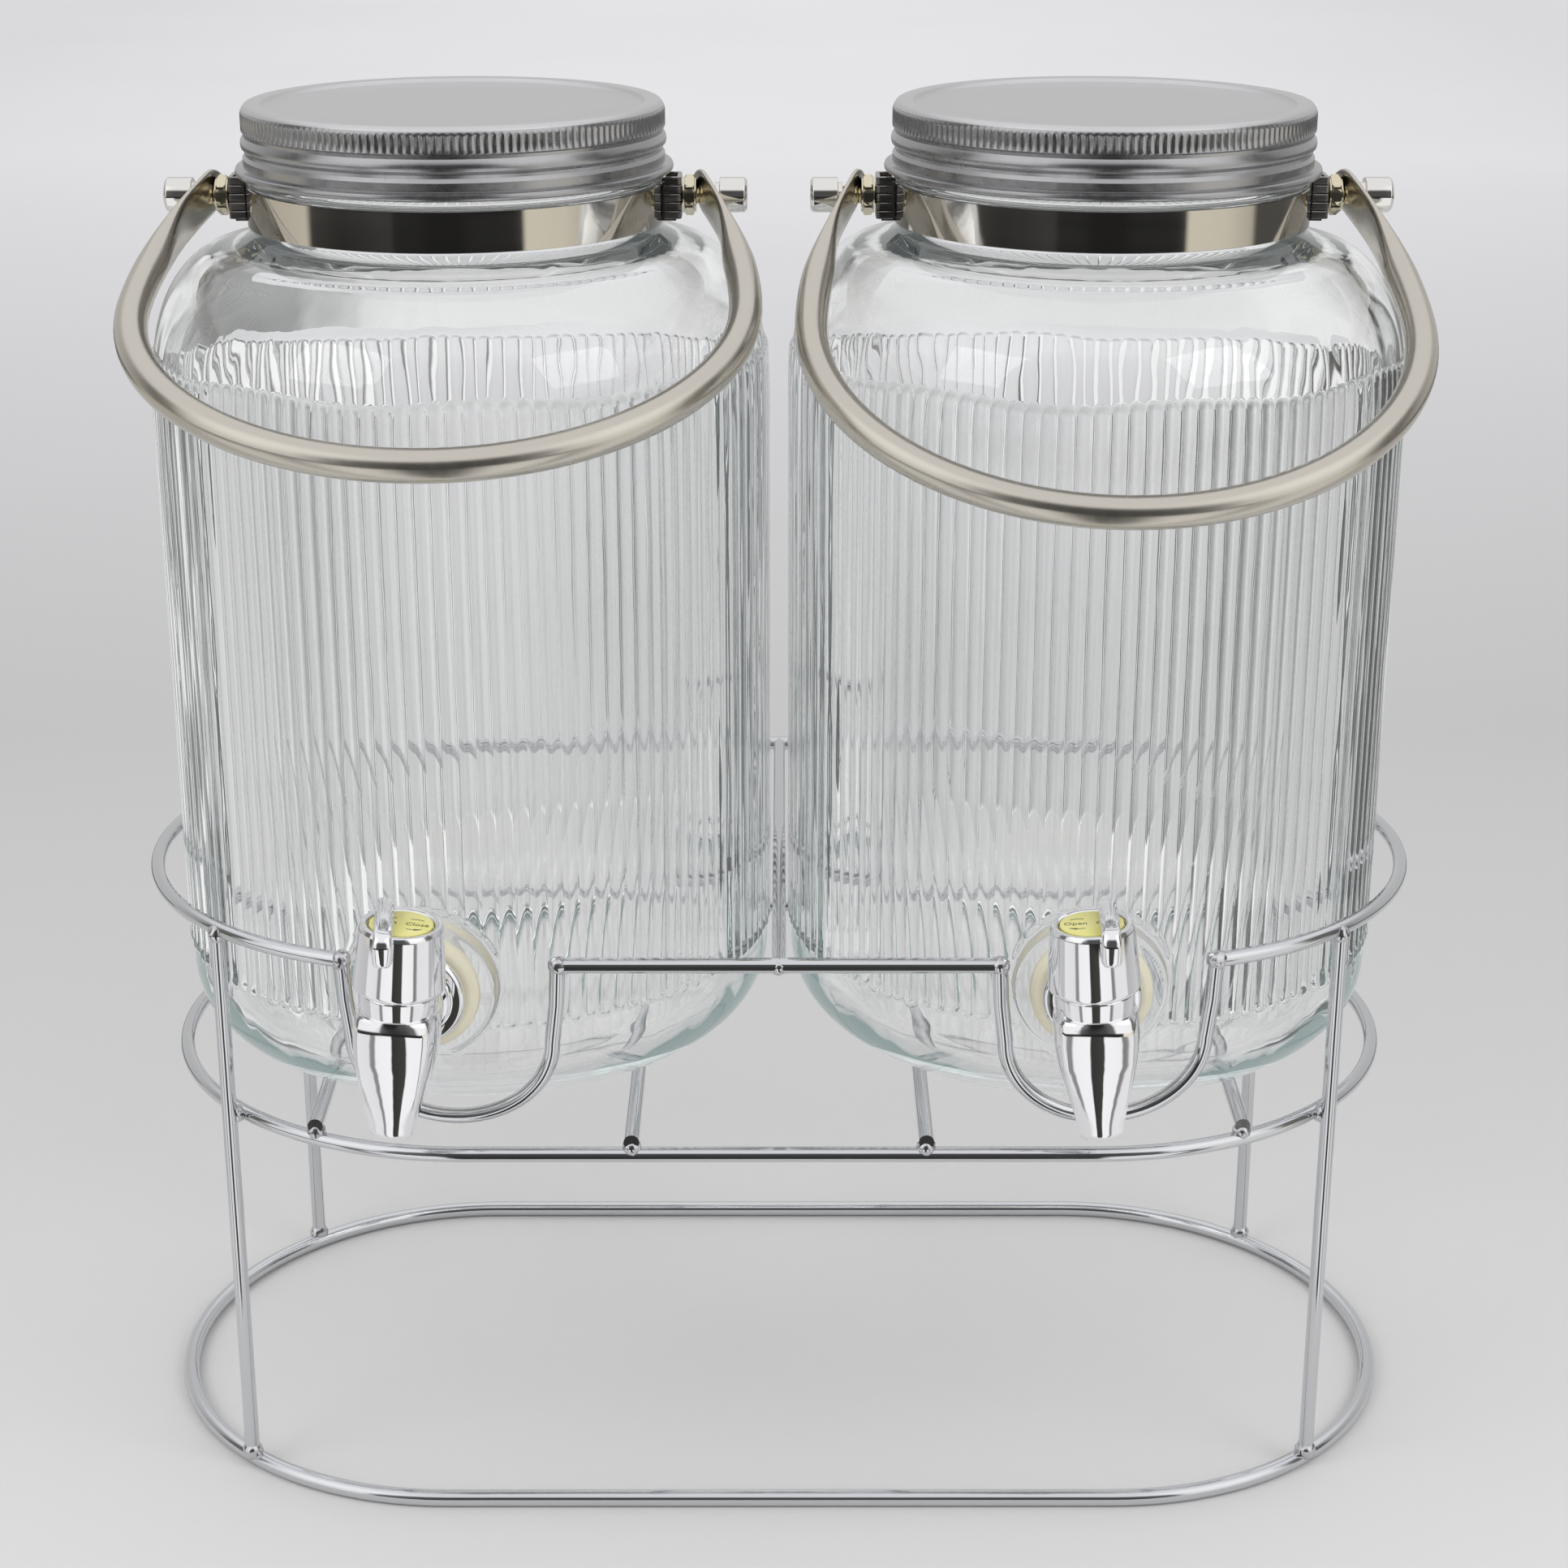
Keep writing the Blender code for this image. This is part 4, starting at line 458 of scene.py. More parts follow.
def rib_height(z, angle):
    """Height of the ribbing above the smooth wall: rounded reeds with round ends."""
    along = angle / (2 * pi) * RIBS
    across = 2 * (along - floor(along)) - 1
    crown = 1 - across * across
    bend = 1.7 * (1 - sqrt(max(1 - across * across, 0)))
    top = RIB_HIGH + 0.8 * sin(floor(along) * 12.9898) - bend
    low = RIB_LOW + 0.3 * sin(floor(along) * 78.233) + bend
    ends = step_between(top - z, 0, 1.6) * step_between(z - low, 0, 1.1)
    return RIB_DEPTH * crown * ends


def jar_shape(tap_angle):
    smooth = SMOOTH_R
    foot = 60.1
    rows = [(0.02, 2.4), (20, 2.3), (40, 2.1), (foot - 11, 2.0), (foot - 8, 1.6), (foot - 5.2, 0.35), (foot - 3, 0.0)]
    for step in range(15):
        angle = pi / 2 * step / 14
        rows.append((foot + (smooth - foot) * sin(angle), 20 * (1 - cos(angle))))
    heights = [20.8 + 0.75 * k for k in range(53)] + [62 + 10 * k for k in range(12)]
    heights += [182 + 0.5 * k for k in range(16)] + [190.5 + 1.5 * k for k in range(15)]
    for z in heights:
        rows.append((shoulder_radius(55, smooth, 177.4, 213.7, z), z))
    rows += [(57.5, 213.3), (55.6, 214.15), (54.2, 214.7), (53.0, 215.4), (52.2, 216.3), (52, 217.5), (52, 228.1),
             (53.0, 228.4), (53.2, 229.2), (53.0, 230.2), (50.9, 231.4), (50.8, 237.7), (51.9, 239.4), (50.8, 241.1),
             (50.8, 242.8), (50.2, 243.4), (46.5, 243.4)]
    columns = 960
    tap = Vector((sin(tap_angle), -cos(tap_angle)))
    height = TAP_Z - JAR_Z

    def outer(radius, z, angle):
        if z < 20 or z > 192:
            return radius
        x, y = cos(angle), sin(angle)
        facing = x * tap.x + y * tap.y
        rib = rib_height(z, angle)
        if facing < 0.9:
            return radius + rib
        side = radius * (x * tap.y - y * tap.x)
        away = sqrt(side * side + (z - height) ** 2)
        rib *= step_between(away, BOSS_R + 1.2, BOSS_R + 3.0)
        lift = 1 - step_between(away, BOSS_R - 0.6, BOSS_R + 1.4)
        plane = BOSS_FACE / facing
        wall = radius + rib
        return wall + (plane - wall) * lift

    verts, faces = lathe(rows, columns, outer)
    inner = [(46.5, 243.4), (46.5, 236), (46.5, 225), (46.5, 212)]
    full = smooth + 0.7 - WALL
    for step in range(1, 13):
        angle = pi / 2 * (1 - step / 12)
        z = 177.4 + 33 * sin(angle) ** (2 / 2.2)
        inner.append((shoulder_radius(46.5, full, 177.4, 210.4, z), z))
    inner += [(full, 177.4 - 4.9 * k) for k in range(1, 32)]
    corner = 16
    for step in range(9):
        angle = pi / 2 * (1 - step / 8)
        inner.append((full - corner + corner * sin(angle), 5 + corner * (1 - cos(angle))))
    inner += [(45, 5.0), (25, 5.1), (0.02, 5.1)]

    def waver(radius, z, angle):
        if radius < 40 or z > 200:
            return radius
        way = Vector((cos(angle) * 5.5, sin(angle) * 5.5, z * 0.022))
        return radius + 0.22 * noise.noise(way) + 0.07 * noise.noise(way * 3.1)

    inner_verts, inner_faces = lathe(inner, 240, waver)
    return joined((verts, faces), (inner_verts, inner_faces))


# ---------------------------------------------------------------- lid, band, pivots
def lid_shape():
    outside = [(54.6, 0.25), (55.1, 0.0), (55.5, 0.35), (55.6, 1.0), (55.4, 1.65), (54.9, 1.95), (54.2, 1.95),
               (53.5, 2.2), (53.5, 4.2), (52.9, 5.2), (53.0, 6.0), (53.75, 6.9), (53.9, 7.8), (53.75, 8.7),
               (53.1, 9.8), (53.1, 10.6), (53.55, 11.0), (53.6, 11.2), (53.6, 15.2), (53.5, 15.6), (53.2, 16.3),
               (52.6, 17.1), (52.0, 17.4), (49.2, 17.4), (48.5, 17.2), (48.0, 16.5), (47.4, 16.2), (30, 16.2), (0.02, 16.2)]
    serrations = 172

    def knurl(radius, z, angle):
        depth = step_between(z, 10.9, 11.6) * (1 - step_between(z, 14.9, 15.9))
        return radius - 0.32 * depth * (0.5 - 0.5 * cos(serrations * angle)) ** 0.7

    profile = []
    for first, second in zip(outside, outside[1:]):
        steps = 4 if 10.5 < first[1] < 15.6 else 1
        for step in range(steps):
            share = step / steps
            profile.append((first[0] + (second[0] - first[0]) * share, first[1] + (second[1] - first[1]) * share))
    profile.append(outside[-1])
    under = [(0.02, 15.65), (48, 15.65), (51.6, 16.8), (53.0, 15.2), (52.5, 10), (53.3, 7.8), (52.4, 5.2), (52.95, 4.0),
             (52.95, 1.9), (53.6, 1.3), (54.2, 0.6), (54.6, 0.25)]
    return joined(lathe(profile, serrations * 5, knurl), lathe(under, 160))


def half_band(turn):
    inner_r, outer_r, gap, sheet, reach = 52.3, 53.1, 3.0, 0.8, 56.3

    def bend(radius, offset):
        limit = asin(offset / radius)
        steps = 72
        angles = [limit + (pi - 2 * limit) * k / steps for k in range(steps + 1)]
        return [(-radius * cos(a), -radius * sin(a)) for a in angles]

    outline = bend(inner_r, gap) + [(reach, -gap), (reach, -gap - sheet)]
    outline += bend(outer_r, gap + sheet)[::-1] + [(-reach, -gap - sheet), (-reach, -gap)]
    return shifted(extruded(outline, 0, 10, 0.12), Matrix.Rotation(turn, 4, "Z"))


def nut_shape(corner, low, high, bore, phase=0.0):
    """A hexagonal nut with chamfered corners, turned round Z."""
    flat = corner * cos(pi / 6)

    def hexagon(radius, z, angle):
        if radius <= bore + 0.01:
            return radius
        part = (angle + phase) % (pi / 3) - pi / 6
        return min(flat / cos(part), radius)

    face = flat + 0.15
    rise = (corner - face) * 0.6
    profile = [(bore, low), (face, low), (corner, low + rise), (corner, high - rise), (face, high), (bore, high)]
    return lathe(profile, 96, hexagon, closed=True)


def thread_shape(radius, low, high, pitch=0.8):
    profile = [(0.1, low)]
    count = int((high - low) / pitch)
    for k in range(count):
        z = low + (high - low) * k / count
        profile += [(radius - 0.35, z), (radius, z + pitch * 0.5)]
    profile += [(radius - 0.35, high), (0.1, high)]
    return lathe(profile, 24)


def build_pivots(side, outward, axis):
    for end, way in (("outer", outward), ("inner", -outward)):
        where = axis @ Matrix.Translation((0, 0, PIVOT_Z)) @ Matrix.Rotation(0 if way > 0 else pi, 4, "Z")
        turned = where @ axis_matrix((1, 0, 0))
        x0, x1, pocket, wall = 53.4, 57.7, 4.1, 1.1
        outer = pocket + wall
        outline = rounded([(x0, -outer), (x1, -outer), (x1, outer), (x0, outer)], 1.0, 4)
        outline += [(x0, pocket), (x1 - wall, pocket), (x1 - wall, -pocket), (x0, -pocket)]
        layers = [extruded(outline, -5.4 + 2.16 * k, -5.4 + 2.16 * k + 1.98, 0.16) for k in range(5)]
        stand_in("%s_clip_%s" % (side, end), joined(*layers), CLIP_PAINTED_DARK, 30, where)
        head = extruded([(-2.7, -4.2), (2.7, -4.2), (2.7, 4.2), (-2.7, 4.2)], 54.2, 56.3, 0.3)
        head = shifted(head, Matrix.Rotation(pi / 2, 4, "Z"))
        bolt = joined(head, thread_shape(2.4, 56.0, 72.8))
        stand_in("%s_bolt_%s" % (side, end), bolt, NUT, 40, turned)
        nut = joined(nut_shape(5.2, 58.5, 60.9, 2.8), ring_washer(2.7, 4.5, 58.05, 58.4), ring_washer(2.7, 4.3, 61.0, 61.35))
        stand_in("%s_jam_nut_%s" % (side, end), nut, NUT, 30, turned)
        cap = rounded([(2.8, 73.2), (2.8, 66.2), (3.2, 66.2), (3.2, 67.4), (4.5, 67.4), (4.5, 73.7), (3.8, 74.4),
                       (0.1, 74.4)], 0.22, 3)
        stand_in("%s_cap_nut_%s" % (side, end), lathe(cap, 64), CAP, 40, turned)


def ring_washer(bore, radius, low, high):
    return lathe([(bore, low), (radius, low), (radius, high), (bore, high)], 40, closed=True)


# ---------------------------------------------------------------- bail
def bail_half_width(reach):
    if reach <= 52:
        share = (52 - reach) / 52
        return 74.5 - (74.5 - 63.8) * share ** 1.85
    share = (reach - 52) / (115.5 - 52)
    return 74.5 * sqrt(max(1 - share ** 2, 0))


def bail_shape():
    """The tube of the handle, pressed flat into a rounded ear at each end; the bow reaches along -Y."""
    ear_end, sides = 6.8, 28
    reaches = [-ear_end * s for s in (0.998, 0.985, 0.96, 0.92, 0.85, 0.75, 0.6, 0.4, 0.2, 0)]
    reaches += [52 * k / 26 for k in range(1, 26)]
    path = [(bail_half_width(reach), reach) for reach in reaches]
    for step in range(65):
        angle = pi * step / 64
        path.append((74.5 * cos(angle), 52 + 63.5 * sin(angle)))
    path += [(-x, reach) for x, reach in reversed(path[:len(reaches)])]
    verts = []
    for index, (x, reach) in enumerate(path):
        before, after = Vector(path[max(index - 1, 0)]), Vector(path[min(index + 1, len(path) - 1)])
        run = (after - before).normalized()
        outward = Vector((run.y, run.x, 0))
        blend = step_between(reach, 8, 34)
        thick = 0.9 + (4.1 - 0.9) * blend
        wide = 6.0 + (4.1 - 6.0) * blend
        past = max(6.0 - ear_end - reach, 0) / 6.0
        wide *= sqrt(max(1 - past ** 2, 0))
        share = 2 / (4 - 2 * blend)
        for step in range(sides):
            angle = 2 * pi * (step + 0.5) / sides
            flat = thick * abs(cos(angle)) ** share * (1 if cos(angle) > 0 else -1)
            tall = wide * abs(sin(angle)) ** share * (1 if sin(angle) > 0 else -1)
            verts.append(Vector((x, -reach, 0)) + outward * flat + Vector((0, 0, tall)))
    faces = grid_faces(len(path), sides)
    faces.append(tuple(reversed(range(sides))))
    faces.append(tuple(range((len(path) - 1) * sides, len(path) * sides)))
    return verts, faces


# ---------------------------------------------------------------- tap
def spout_row(z, wide, front, back, face, sag, power):
    """One section of the spout: a shallow front face between two edges, and a round back."""
    points = []
    across, behind = 17, 26
    depth = (front - sag) / (1 - (face / wide) ** power) ** (1 / power) if face < wide else front
    for k in range(across):
        u = -1 + 2 * k / (across - 1)
        points.append((face * u, -(front - sag * u * u), z))
    start = atan2(-abs((front - sag) / depth) ** (power / 2), abs(face / wide) ** (power / 2))
    for k in range(1, behind):
        angle = start + (pi - 2 * start) * k / behind
        c, s = cos(angle), sin(angle)
        x = wide * abs(c) ** (2 / power) * (1 if c > 0 else -1)
        y = (back if s > 0 else depth) * abs(s) ** (2 / power) * (1 if s > 0 else -1)
        points.append((x, y, z))
    return points


def spout_shape():
    rows = [(6.4, 10.1, 10.1, 10.1, 8.6, 3.6, 2.05), (5.6, 10.3, 10.2, 10.2, 8.7, 2.9, 2.1),
            (3.5, 10.5, 10.55, 10.35, 8.75, 2.5, 2.2), (0.0, 10.6, 10.7, 10.4, 8.7, 2.3, 2.3),
            (-3.0, 10.35, 10.7, 9.8, 8.5, 2.2, 2.4), (-6.0, 9.9, 10.6, 8.95, 8.3, 2.1, 2.4),
            (-9.5, 9.1, 10.1, 7.8, 7.9, 2.1, 2.5), (-13.1, 8.2, 9.45, 6.75, 7.4, 2.1, 2.5),
            (-17.0, 7.2, 8.55, 5.9, 6.7, 2.0, 2.5), (-20.1, 6.45, 7.7, 5.3, 6.1, 1.9, 2.5),
            (-23.5, 5.7, 6.7, 4.95, 5.45, 1.75, 2.5), (-26.0, 5.2, 6.0, 4.8, 5.0, 1.6, 2.5),
            (-26.5, 4.9, 5.7, 4.5, 4.7, 1.5, 2.5)]
    smooth = []
    for first, second in zip(rows, rows[1:]):
        for step in range(3):
            share = step / 3
            smooth.append([a + (b - a) * share for a, b in zip(first, second)])
    smooth.append(rows[-1])
    sections = [spout_row(*row) for row in reversed(smooth)]
    sections = [[(x * 0.72, y * 0.72, z) for x, y, z in sections[0]]] + sections
    sections = [[(x * 0.9, y * 0.9, z + 4) for x, y, z in sections[0]]] + sections
    count = len(sections[0])
    verts = [point for section in sections for point in section]
    faces = grid_faces(len(sections), count)
    faces.append(tuple(reversed(range(count))))
    faces.append(tuple(range((len(sections) - 1) * count, len(sections) * count)))
    return verts, faces


def lever_shape():
    """The finger bar over the knob: an arch with a rounded section, both ends hanging down the wall."""
    outline = [(-10.3, 21.6), (-10.9, 23.5), (-11.3, 25.8), (-11.1, 27.9), (-10.0, 29.4), (-7.6, 30.4), (-4.5, 30.95),
               (-1.8, 31.05), (1.5, 30.95), (5.0, 30.55), (8.2, 29.85), (10.3, 28.9), (11.3, 27.5), (11.35, 25.6),
               (10.9, 23.5), (10.3, 21.6)]
    path = []
    for k in range(len(outline) - 1):
        p0, p1 = Vector(outline[max(k - 1, 0)]), Vector(outline[k])
        p2, p3 = Vector(outline[k + 1]), Vector(outline[min(k + 2, len(outline) - 1)])
        for step in range(4):
            t = step / 4
            point = 0.5 * (2 * p1 + (p2 - p0) * t + (2 * p0 - 5 * p1 + 4 * p2 - p3) * t * t
                           + (3 * p1 - p0 - 3 * p2 + p3) * t ** 3)
            path.append((0, point.x, point.y))
    path.append((0, *outline[-1]))

    def section(share):
        end = min(share, 1 - share) * 2
        near = sqrt(min(end / 0.12, 1) * (2 - min(end / 0.12, 1)))
        across, up = 1.45 * near, 2.35 * near
        shape = []
        for k in range(20):
            angle = 2 * pi * k / 20
            c, s = cos(angle), sin(angle)
            shape.append((across * abs(c) ** 0.75 * (1 if c > 0 else -1), up * abs(s) ** 0.75 * (1 if s > 0 else -1)))
        return shape

    return shifted(tube(path, (1, 0, 0), section), Matrix.Translation((4.1, 0, 0)))


def knob_shape():
    profile = rounded([(9.9, 12.0), (10.9, 12.0), (11.35, 12.9), (10.3, 27.8), (9.75, 28.95), (8.5, 28.75), (8.0, 28.2),
                       (8.0, 27.7), (1.95, 27.7), (1.95, 20)], 0.35, 4)
    inside = [(1.95, 20), (5.5, 20), (5.5, 26), (8.8, 26), (9.9, 12.0)]
    return joined(lathe(profile, 128), lathe(inside, 64), lever_shape())


def text_mesh(name, words, size, matrix):
    curve = bpy.data.curves.new(name, "FONT")
    curve.body = words
    curve.size = size * MM
    curve.align_x, curve.align_y = "CENTER", "CENTER"
    curve.extrude = 0.02 * MM
    curve.resolution_u = 3
    holder = bpy.data.objects.new(name, curve)
    bpy.context.scene.collection.objects.link(holder)
    bpy.context.view_layer.update()
    mesh = bpy.data.meshes.new_from_object(holder.evaluated_get(bpy.context.evaluated_depsgraph_get()))
    bpy.data.objects.remove(holder)
    verts = [matrix @ (v.co / MM) for v in mesh.vertices]
    faces = [tuple(p.vertices) for p in mesh.polygons]
    return verts, faces


def arc_arrow(centre_x, radius, start, end, height, head=True):
    """A thin arc with a pointed head, flat on the disc."""
    verts, faces, steps = [], [], 14
    for k in range(steps + 1):
        share = k / steps
        angle = start + (end - start) * share
        half = 0.16
        if head and share > 0.45:
            half = 0.62 * (1 - (share - 0.45) / 0.55) + 0.01
        for r in (radius - half, radius + half):
            for z in (height, height + 0.04):
                verts.append((centre_x + r * cos(angle), r * 0.8 * sin(angle), z))
    for k in range(steps):
        a, b = 4 * k, 4 * k + 4
        faces += [(a + 1, a + 3, b + 3, b + 1), (a, b, b + 2, a + 2), (a, a + 1, b + 1, b), (a + 2, b + 2, b + 3, a + 3)]
    faces += [(0, 2, 3, 1), (4 * steps, 4 * steps + 1, 4 * steps + 3, 4 * steps + 2)]
    return verts, faces


def build_tap(side, axis):
    angle, roll, turn = TAP_ANGLE[side], TAP_ROLL[side], KNOB_TURN[side]
    place = Matrix.Translation((107 * sin(angle), -107 * cos(angle), TAP_Z))
    tap = axis @ place @ Euler((0, roll, angle)).to_matrix().to_4x4()
    to_jar = tap @ axis_matrix((0, 1, 0))
    collar = lathe(rounded([(9.0, 5.8), (9.65, 6.2), (9.75, 11.2), (9.3, 11.8), (9.2, 16.8), (6.5, 16.8)], 0.3), 96)
    plane = 107 - BOSS_FACE
    washer_front = plane - 0.6 - 3.0
    shank = [(8.8, 7.5), (8.8, washer_front - 3.4), (9.6, washer_front - 2.9), (11.6, washer_front - 2.8),
             (12.4, washer_front - 1.9), (12.5, washer_front), (8.0, washer_front), (8.0, 42.5), (4.2, 42.5), (4.2, 38)]
    shank = shifted(lathe(rounded(shank, 0.3), 96), axis_matrix((0, 1, 0)))
    stand_in(side + "_tap_body", joined(spout_shape(), collar, shank), TAP, 50, tap)
    turned_knob = tap @ Matrix.Rotation(turn, 4, "Z")
    stand_in(side + "_tap_knob", knob_shape(), TAP, 50, turned_knob)
    disc = lathe([(0.05, 28.0), (7.7, 28.0), (7.7, 28.65), (7.6, 28.7), (0.05, 28.7)], 96)
    stand_in(side + "_knob_disc", disc, YELLOW, 35, tap)
    for words, x in (("Open", -3.9), ("Close", 3.9)):
        label = text_mesh(words, words, 2.5, Matrix.Translation((x, 0.1, 28.72)))
        top = arc_arrow(x * 0.8, 3.9, radians(60 if x > 0 else 120), radians(110 if x > 0 else 70), 28.7, False)
        low = arc_arrow(x * 0.8, 3.9, radians(-110 if x > 0 else -70), radians(-50 if x > 0 else -130), 28.7)
        if x < 0:
            low = (low[0], [tuple(reversed(f)) for f in low[1]])
        marks = joined(label, top, low)
        add("%s_disc_%s" % (side, words.lower()), *marks, INK, side + "_jar", slot="yellow_disc", matrix=tap)
    back = plane - 0.3
    outer = rounded([(8.4, back - 3.0), (13.6, back - 3.0), (15.4, back - 1.7), (15.5, back)], 0.5)
    outer = joined(lathe(outer, 96), lathe([(15.5, back), (8.4, back)], 96))
    stand_in(side + "_outer_washer", outer, SILICONE, 40, to_jar)
    near = 107 - 75 + 0.3
    stand_in(side + "_inner_washer", ring_washer(8.4, 12.0, near, near + 2.5), SILICONE, 40, to_jar)
    stand_in(side + "_tap_nut", nut_shape(12.8, near + 2.8, near + 8.7, 8.4), NYLON, 30, to_jar)


def build_dispenser(side, outward):
    axis = Matrix.Translation((outward * JAR_X, SET_BACK, 0))
    glass = stand_in(side + "_glass_jar", jar_shape(TAP_ANGLE[side]), GLASS, 60, axis @ Matrix.Translation((0, 0, JAR_Z)))
    glass.visible_shadow = False
    lid = stand_in(side + "_lid", lid_shape(), LID_SHADED_SIDE, 30, axis @ Matrix.Translation((0, 0, LID_Z)))
    lid.data.materials.append(LID_LIT_PANEL)
    # Upward faces of the top take the lighter copy of the lid metal and the rest the darker one: painted light and
    # shade.
    for polygon in lid.data.polygons:
        polygon.material_index = int(polygon.center.z > (LID_Z + PANEL_FROM) * MM and polygon.normal.z > 0.5)
    for half, turn in (("front", 0), ("rear", pi)):
        stand_in("%s_band_%s" % (side, half), half_band(turn), BAND, 30, axis @ Matrix.Translation((0, 0, BAND_Z)))
    build_pivots(side, outward, axis)
    bail = axis @ Matrix.Translation((0, 0, PIVOT_Z)) @ Matrix.Rotation(BAIL_DROP[side], 4, "X")
    stand_in(side + "_bail", bail_shape(), BAIL, 40, bail)
    build_tap(side, axis)
    for node, material in (("lid_liner", LINER), ("tap_rotor", NYLON), ("tap_oring", RUBBER)):
        frame["nodes"]["%s_%s" % (side, node)].data.materials.clear()
        frame["nodes"]["%s_%s" % (side, node)].data.materials.append(material)


# ---------------------------------------------------------------- studio
def build_floor():
    """A pale sweep with painted shade, darker from the front to half a metre behind the stand and towards the left and
    right, lighter far away; what shines sees through its front part to the darker room.
    """
    material, shader, nodes, links = new_material("studio_floor", (0.66, 0.66, 0.655), 0.0, 0.7)
    shader.inputs["Specular IOR Level"].default_value = 0.1
    place = nodes.new("ShaderNodeTexCoord")
    split = nodes.new("ShaderNodeSeparateXYZ")
    links.new(place.outputs["Object"], split.inputs["Vector"])

    def ranged(value, low, high, smooth=True):
        node = nodes.new("ShaderNodeMapRange")
        node.interpolation_type = "SMOOTHSTEP" if smooth else "LINEAR"
        node.inputs["From Min"].default_value = low
        node.inputs["From Max"].default_value = high
        links.new(value, node.inputs["Value"])
        return node.outputs["Result"]

    math = math_maker(nodes, links)
    x, y = split.outputs["X"], split.outputs["Y"]
    # Painted shade: the floor darkens from the front to its darkest about half a metre behind the stand, then lightens
    # far away.
    painted_shade_tone = ramp_node(nodes, links, ranged(y, -0.2, 4.3, False), (
        (0.0, (0.75, 0.745, 0.74)), (0.04, (0.70, 0.695, 0.69)), (0.079, (0.63, 0.628, 0.625)),
        (0.173, (0.57, 0.57, 0.57)), (0.35, (0.72, 0.72, 0.73)), (0.60, (0.91, 0.91, 0.925)),
        (1.0, (0.90, 0.90, 0.915))))
    # Painted shade: the floor also darkens towards the left and right.
    corners = math("MAXIMUM", math("SUBTRACT", 1.0, math("MULTIPLY", math("MULTIPLY", x, x), 0.09)), 0.9)
    cloud = noise_node(nodes, links, 2.2, 3)
    mottle = nodes.new("ShaderNodeMix")
    mottle.data_type = "RGBA"
    mottle.blend_type = "MULTIPLY"
    mottle.inputs["Factor"].default_value = 0.05
    links.new(painted_shade_tone, mottle.inputs[6])
    links.new(cloud.outputs["Fac"], mottle.inputs[7])
    shaded = nodes.new("ShaderNodeVectorMath")
    shaded.operation = "SCALE"
    links.new(mottle.outputs[2], shaded.inputs[0])
    links.new(corners, shaded.inputs["Scale"])
    links.new(shaded.outputs[0], shader.inputs["Base Color"])
    path = nodes.new("ShaderNodeLightPath")
    glossy, passed = path.outputs["Is Glossy Ray"], path.outputs["Is Transmission Ray"]
    across = math("MULTIPLY", x, 0.55)
    behind = math("SUBTRACT", y, SET_BACK * MM)
    away = math("SQRT", math("ADD", math("MULTIPLY", across, across), math("MULTIPLY", behind, behind)))
    mirror = math("MULTIPLY", glossy, math("SUBTRACT", 1.0, passed))
    mirror_gone = math("MULTIPLY", mirror, ranged(away, 0.165, 0.185))
    edge_of_view = math("MULTIPLY", math("ADD", y, 0.77), 0.235)
    outside = math("SUBTRACT", math("ABSOLUTE", x), edge_of_view)
    side_gone = math("MULTIPLY", passed, ranged(outside, 0.0, 0.02))
    gone = math("MAXIMUM", mirror_gone, side_gone)
    clear = nodes.new("ShaderNodeBsdfTransparent")
    mix = nodes.new("ShaderNodeMixShader")
    links.new(gone, mix.inputs["Fac"])
    links.new(shader.outputs["BSDF"], mix.inputs[1])
    links.new(clear.outputs["BSDF"], mix.inputs[2])
    links.new(mix.outputs["Shader"], nodes["Material Output"].inputs["Surface"])
    size = 12000
    verts = [(-size, -size, 0), (size, -size, 0), (size, size, 0), (-size, size, 0)]
    mesh = bpy.data.meshes.new("studio_floor")
    mesh.from_pydata([(x * MM, y * MM, z * MM) for x, y, z in verts], [], [(0, 1, 2, 3)])
    mesh.materials.append(material)
    item = bpy.data.objects.new("studio_floor", mesh)
    bpy.context.scene.collection.objects.link(item)


def ramp_node(nodes, links, value, stops):
    ramp = nodes.new("ShaderNodeValToRGB")
    elements = ramp.color_ramp.elements
    while len(elements) < len(stops):
        elements.new(0.5)
    for element, (position, colour) in zip(elements, stops):
        element.position = position
        element.color = (*colour, 1)
    links.new(value, ramp.inputs["Fac"])
    return ramp.outputs["Color"]


def round_the_room(nodes, links, share, stops):
    """Brightness by compass angle: 0 is the front, 90 the right; the third entry is how warm it is."""
    rows = []
    for degrees, value, warm in stops:
        rows.append((degrees / 360 + 0.5, (value, value * (1 - 0.06 * warm), value * (1 - 0.20 * warm))))
    return ramp_node(nodes, links, share, rows)


def blend(nodes, links, factor, first, second):
    mix = nodes.new("ShaderNodeMix")
    mix.data_type = "RGBA"
    for socket, value in ((mix.inputs["Factor"], factor), (mix.inputs[6], first), (mix.inputs[7], second)):
        if isinstance(value, tuple):
            socket.default_value = value
        else:
            links.new(value, socket)
    return mix.outputs[2]


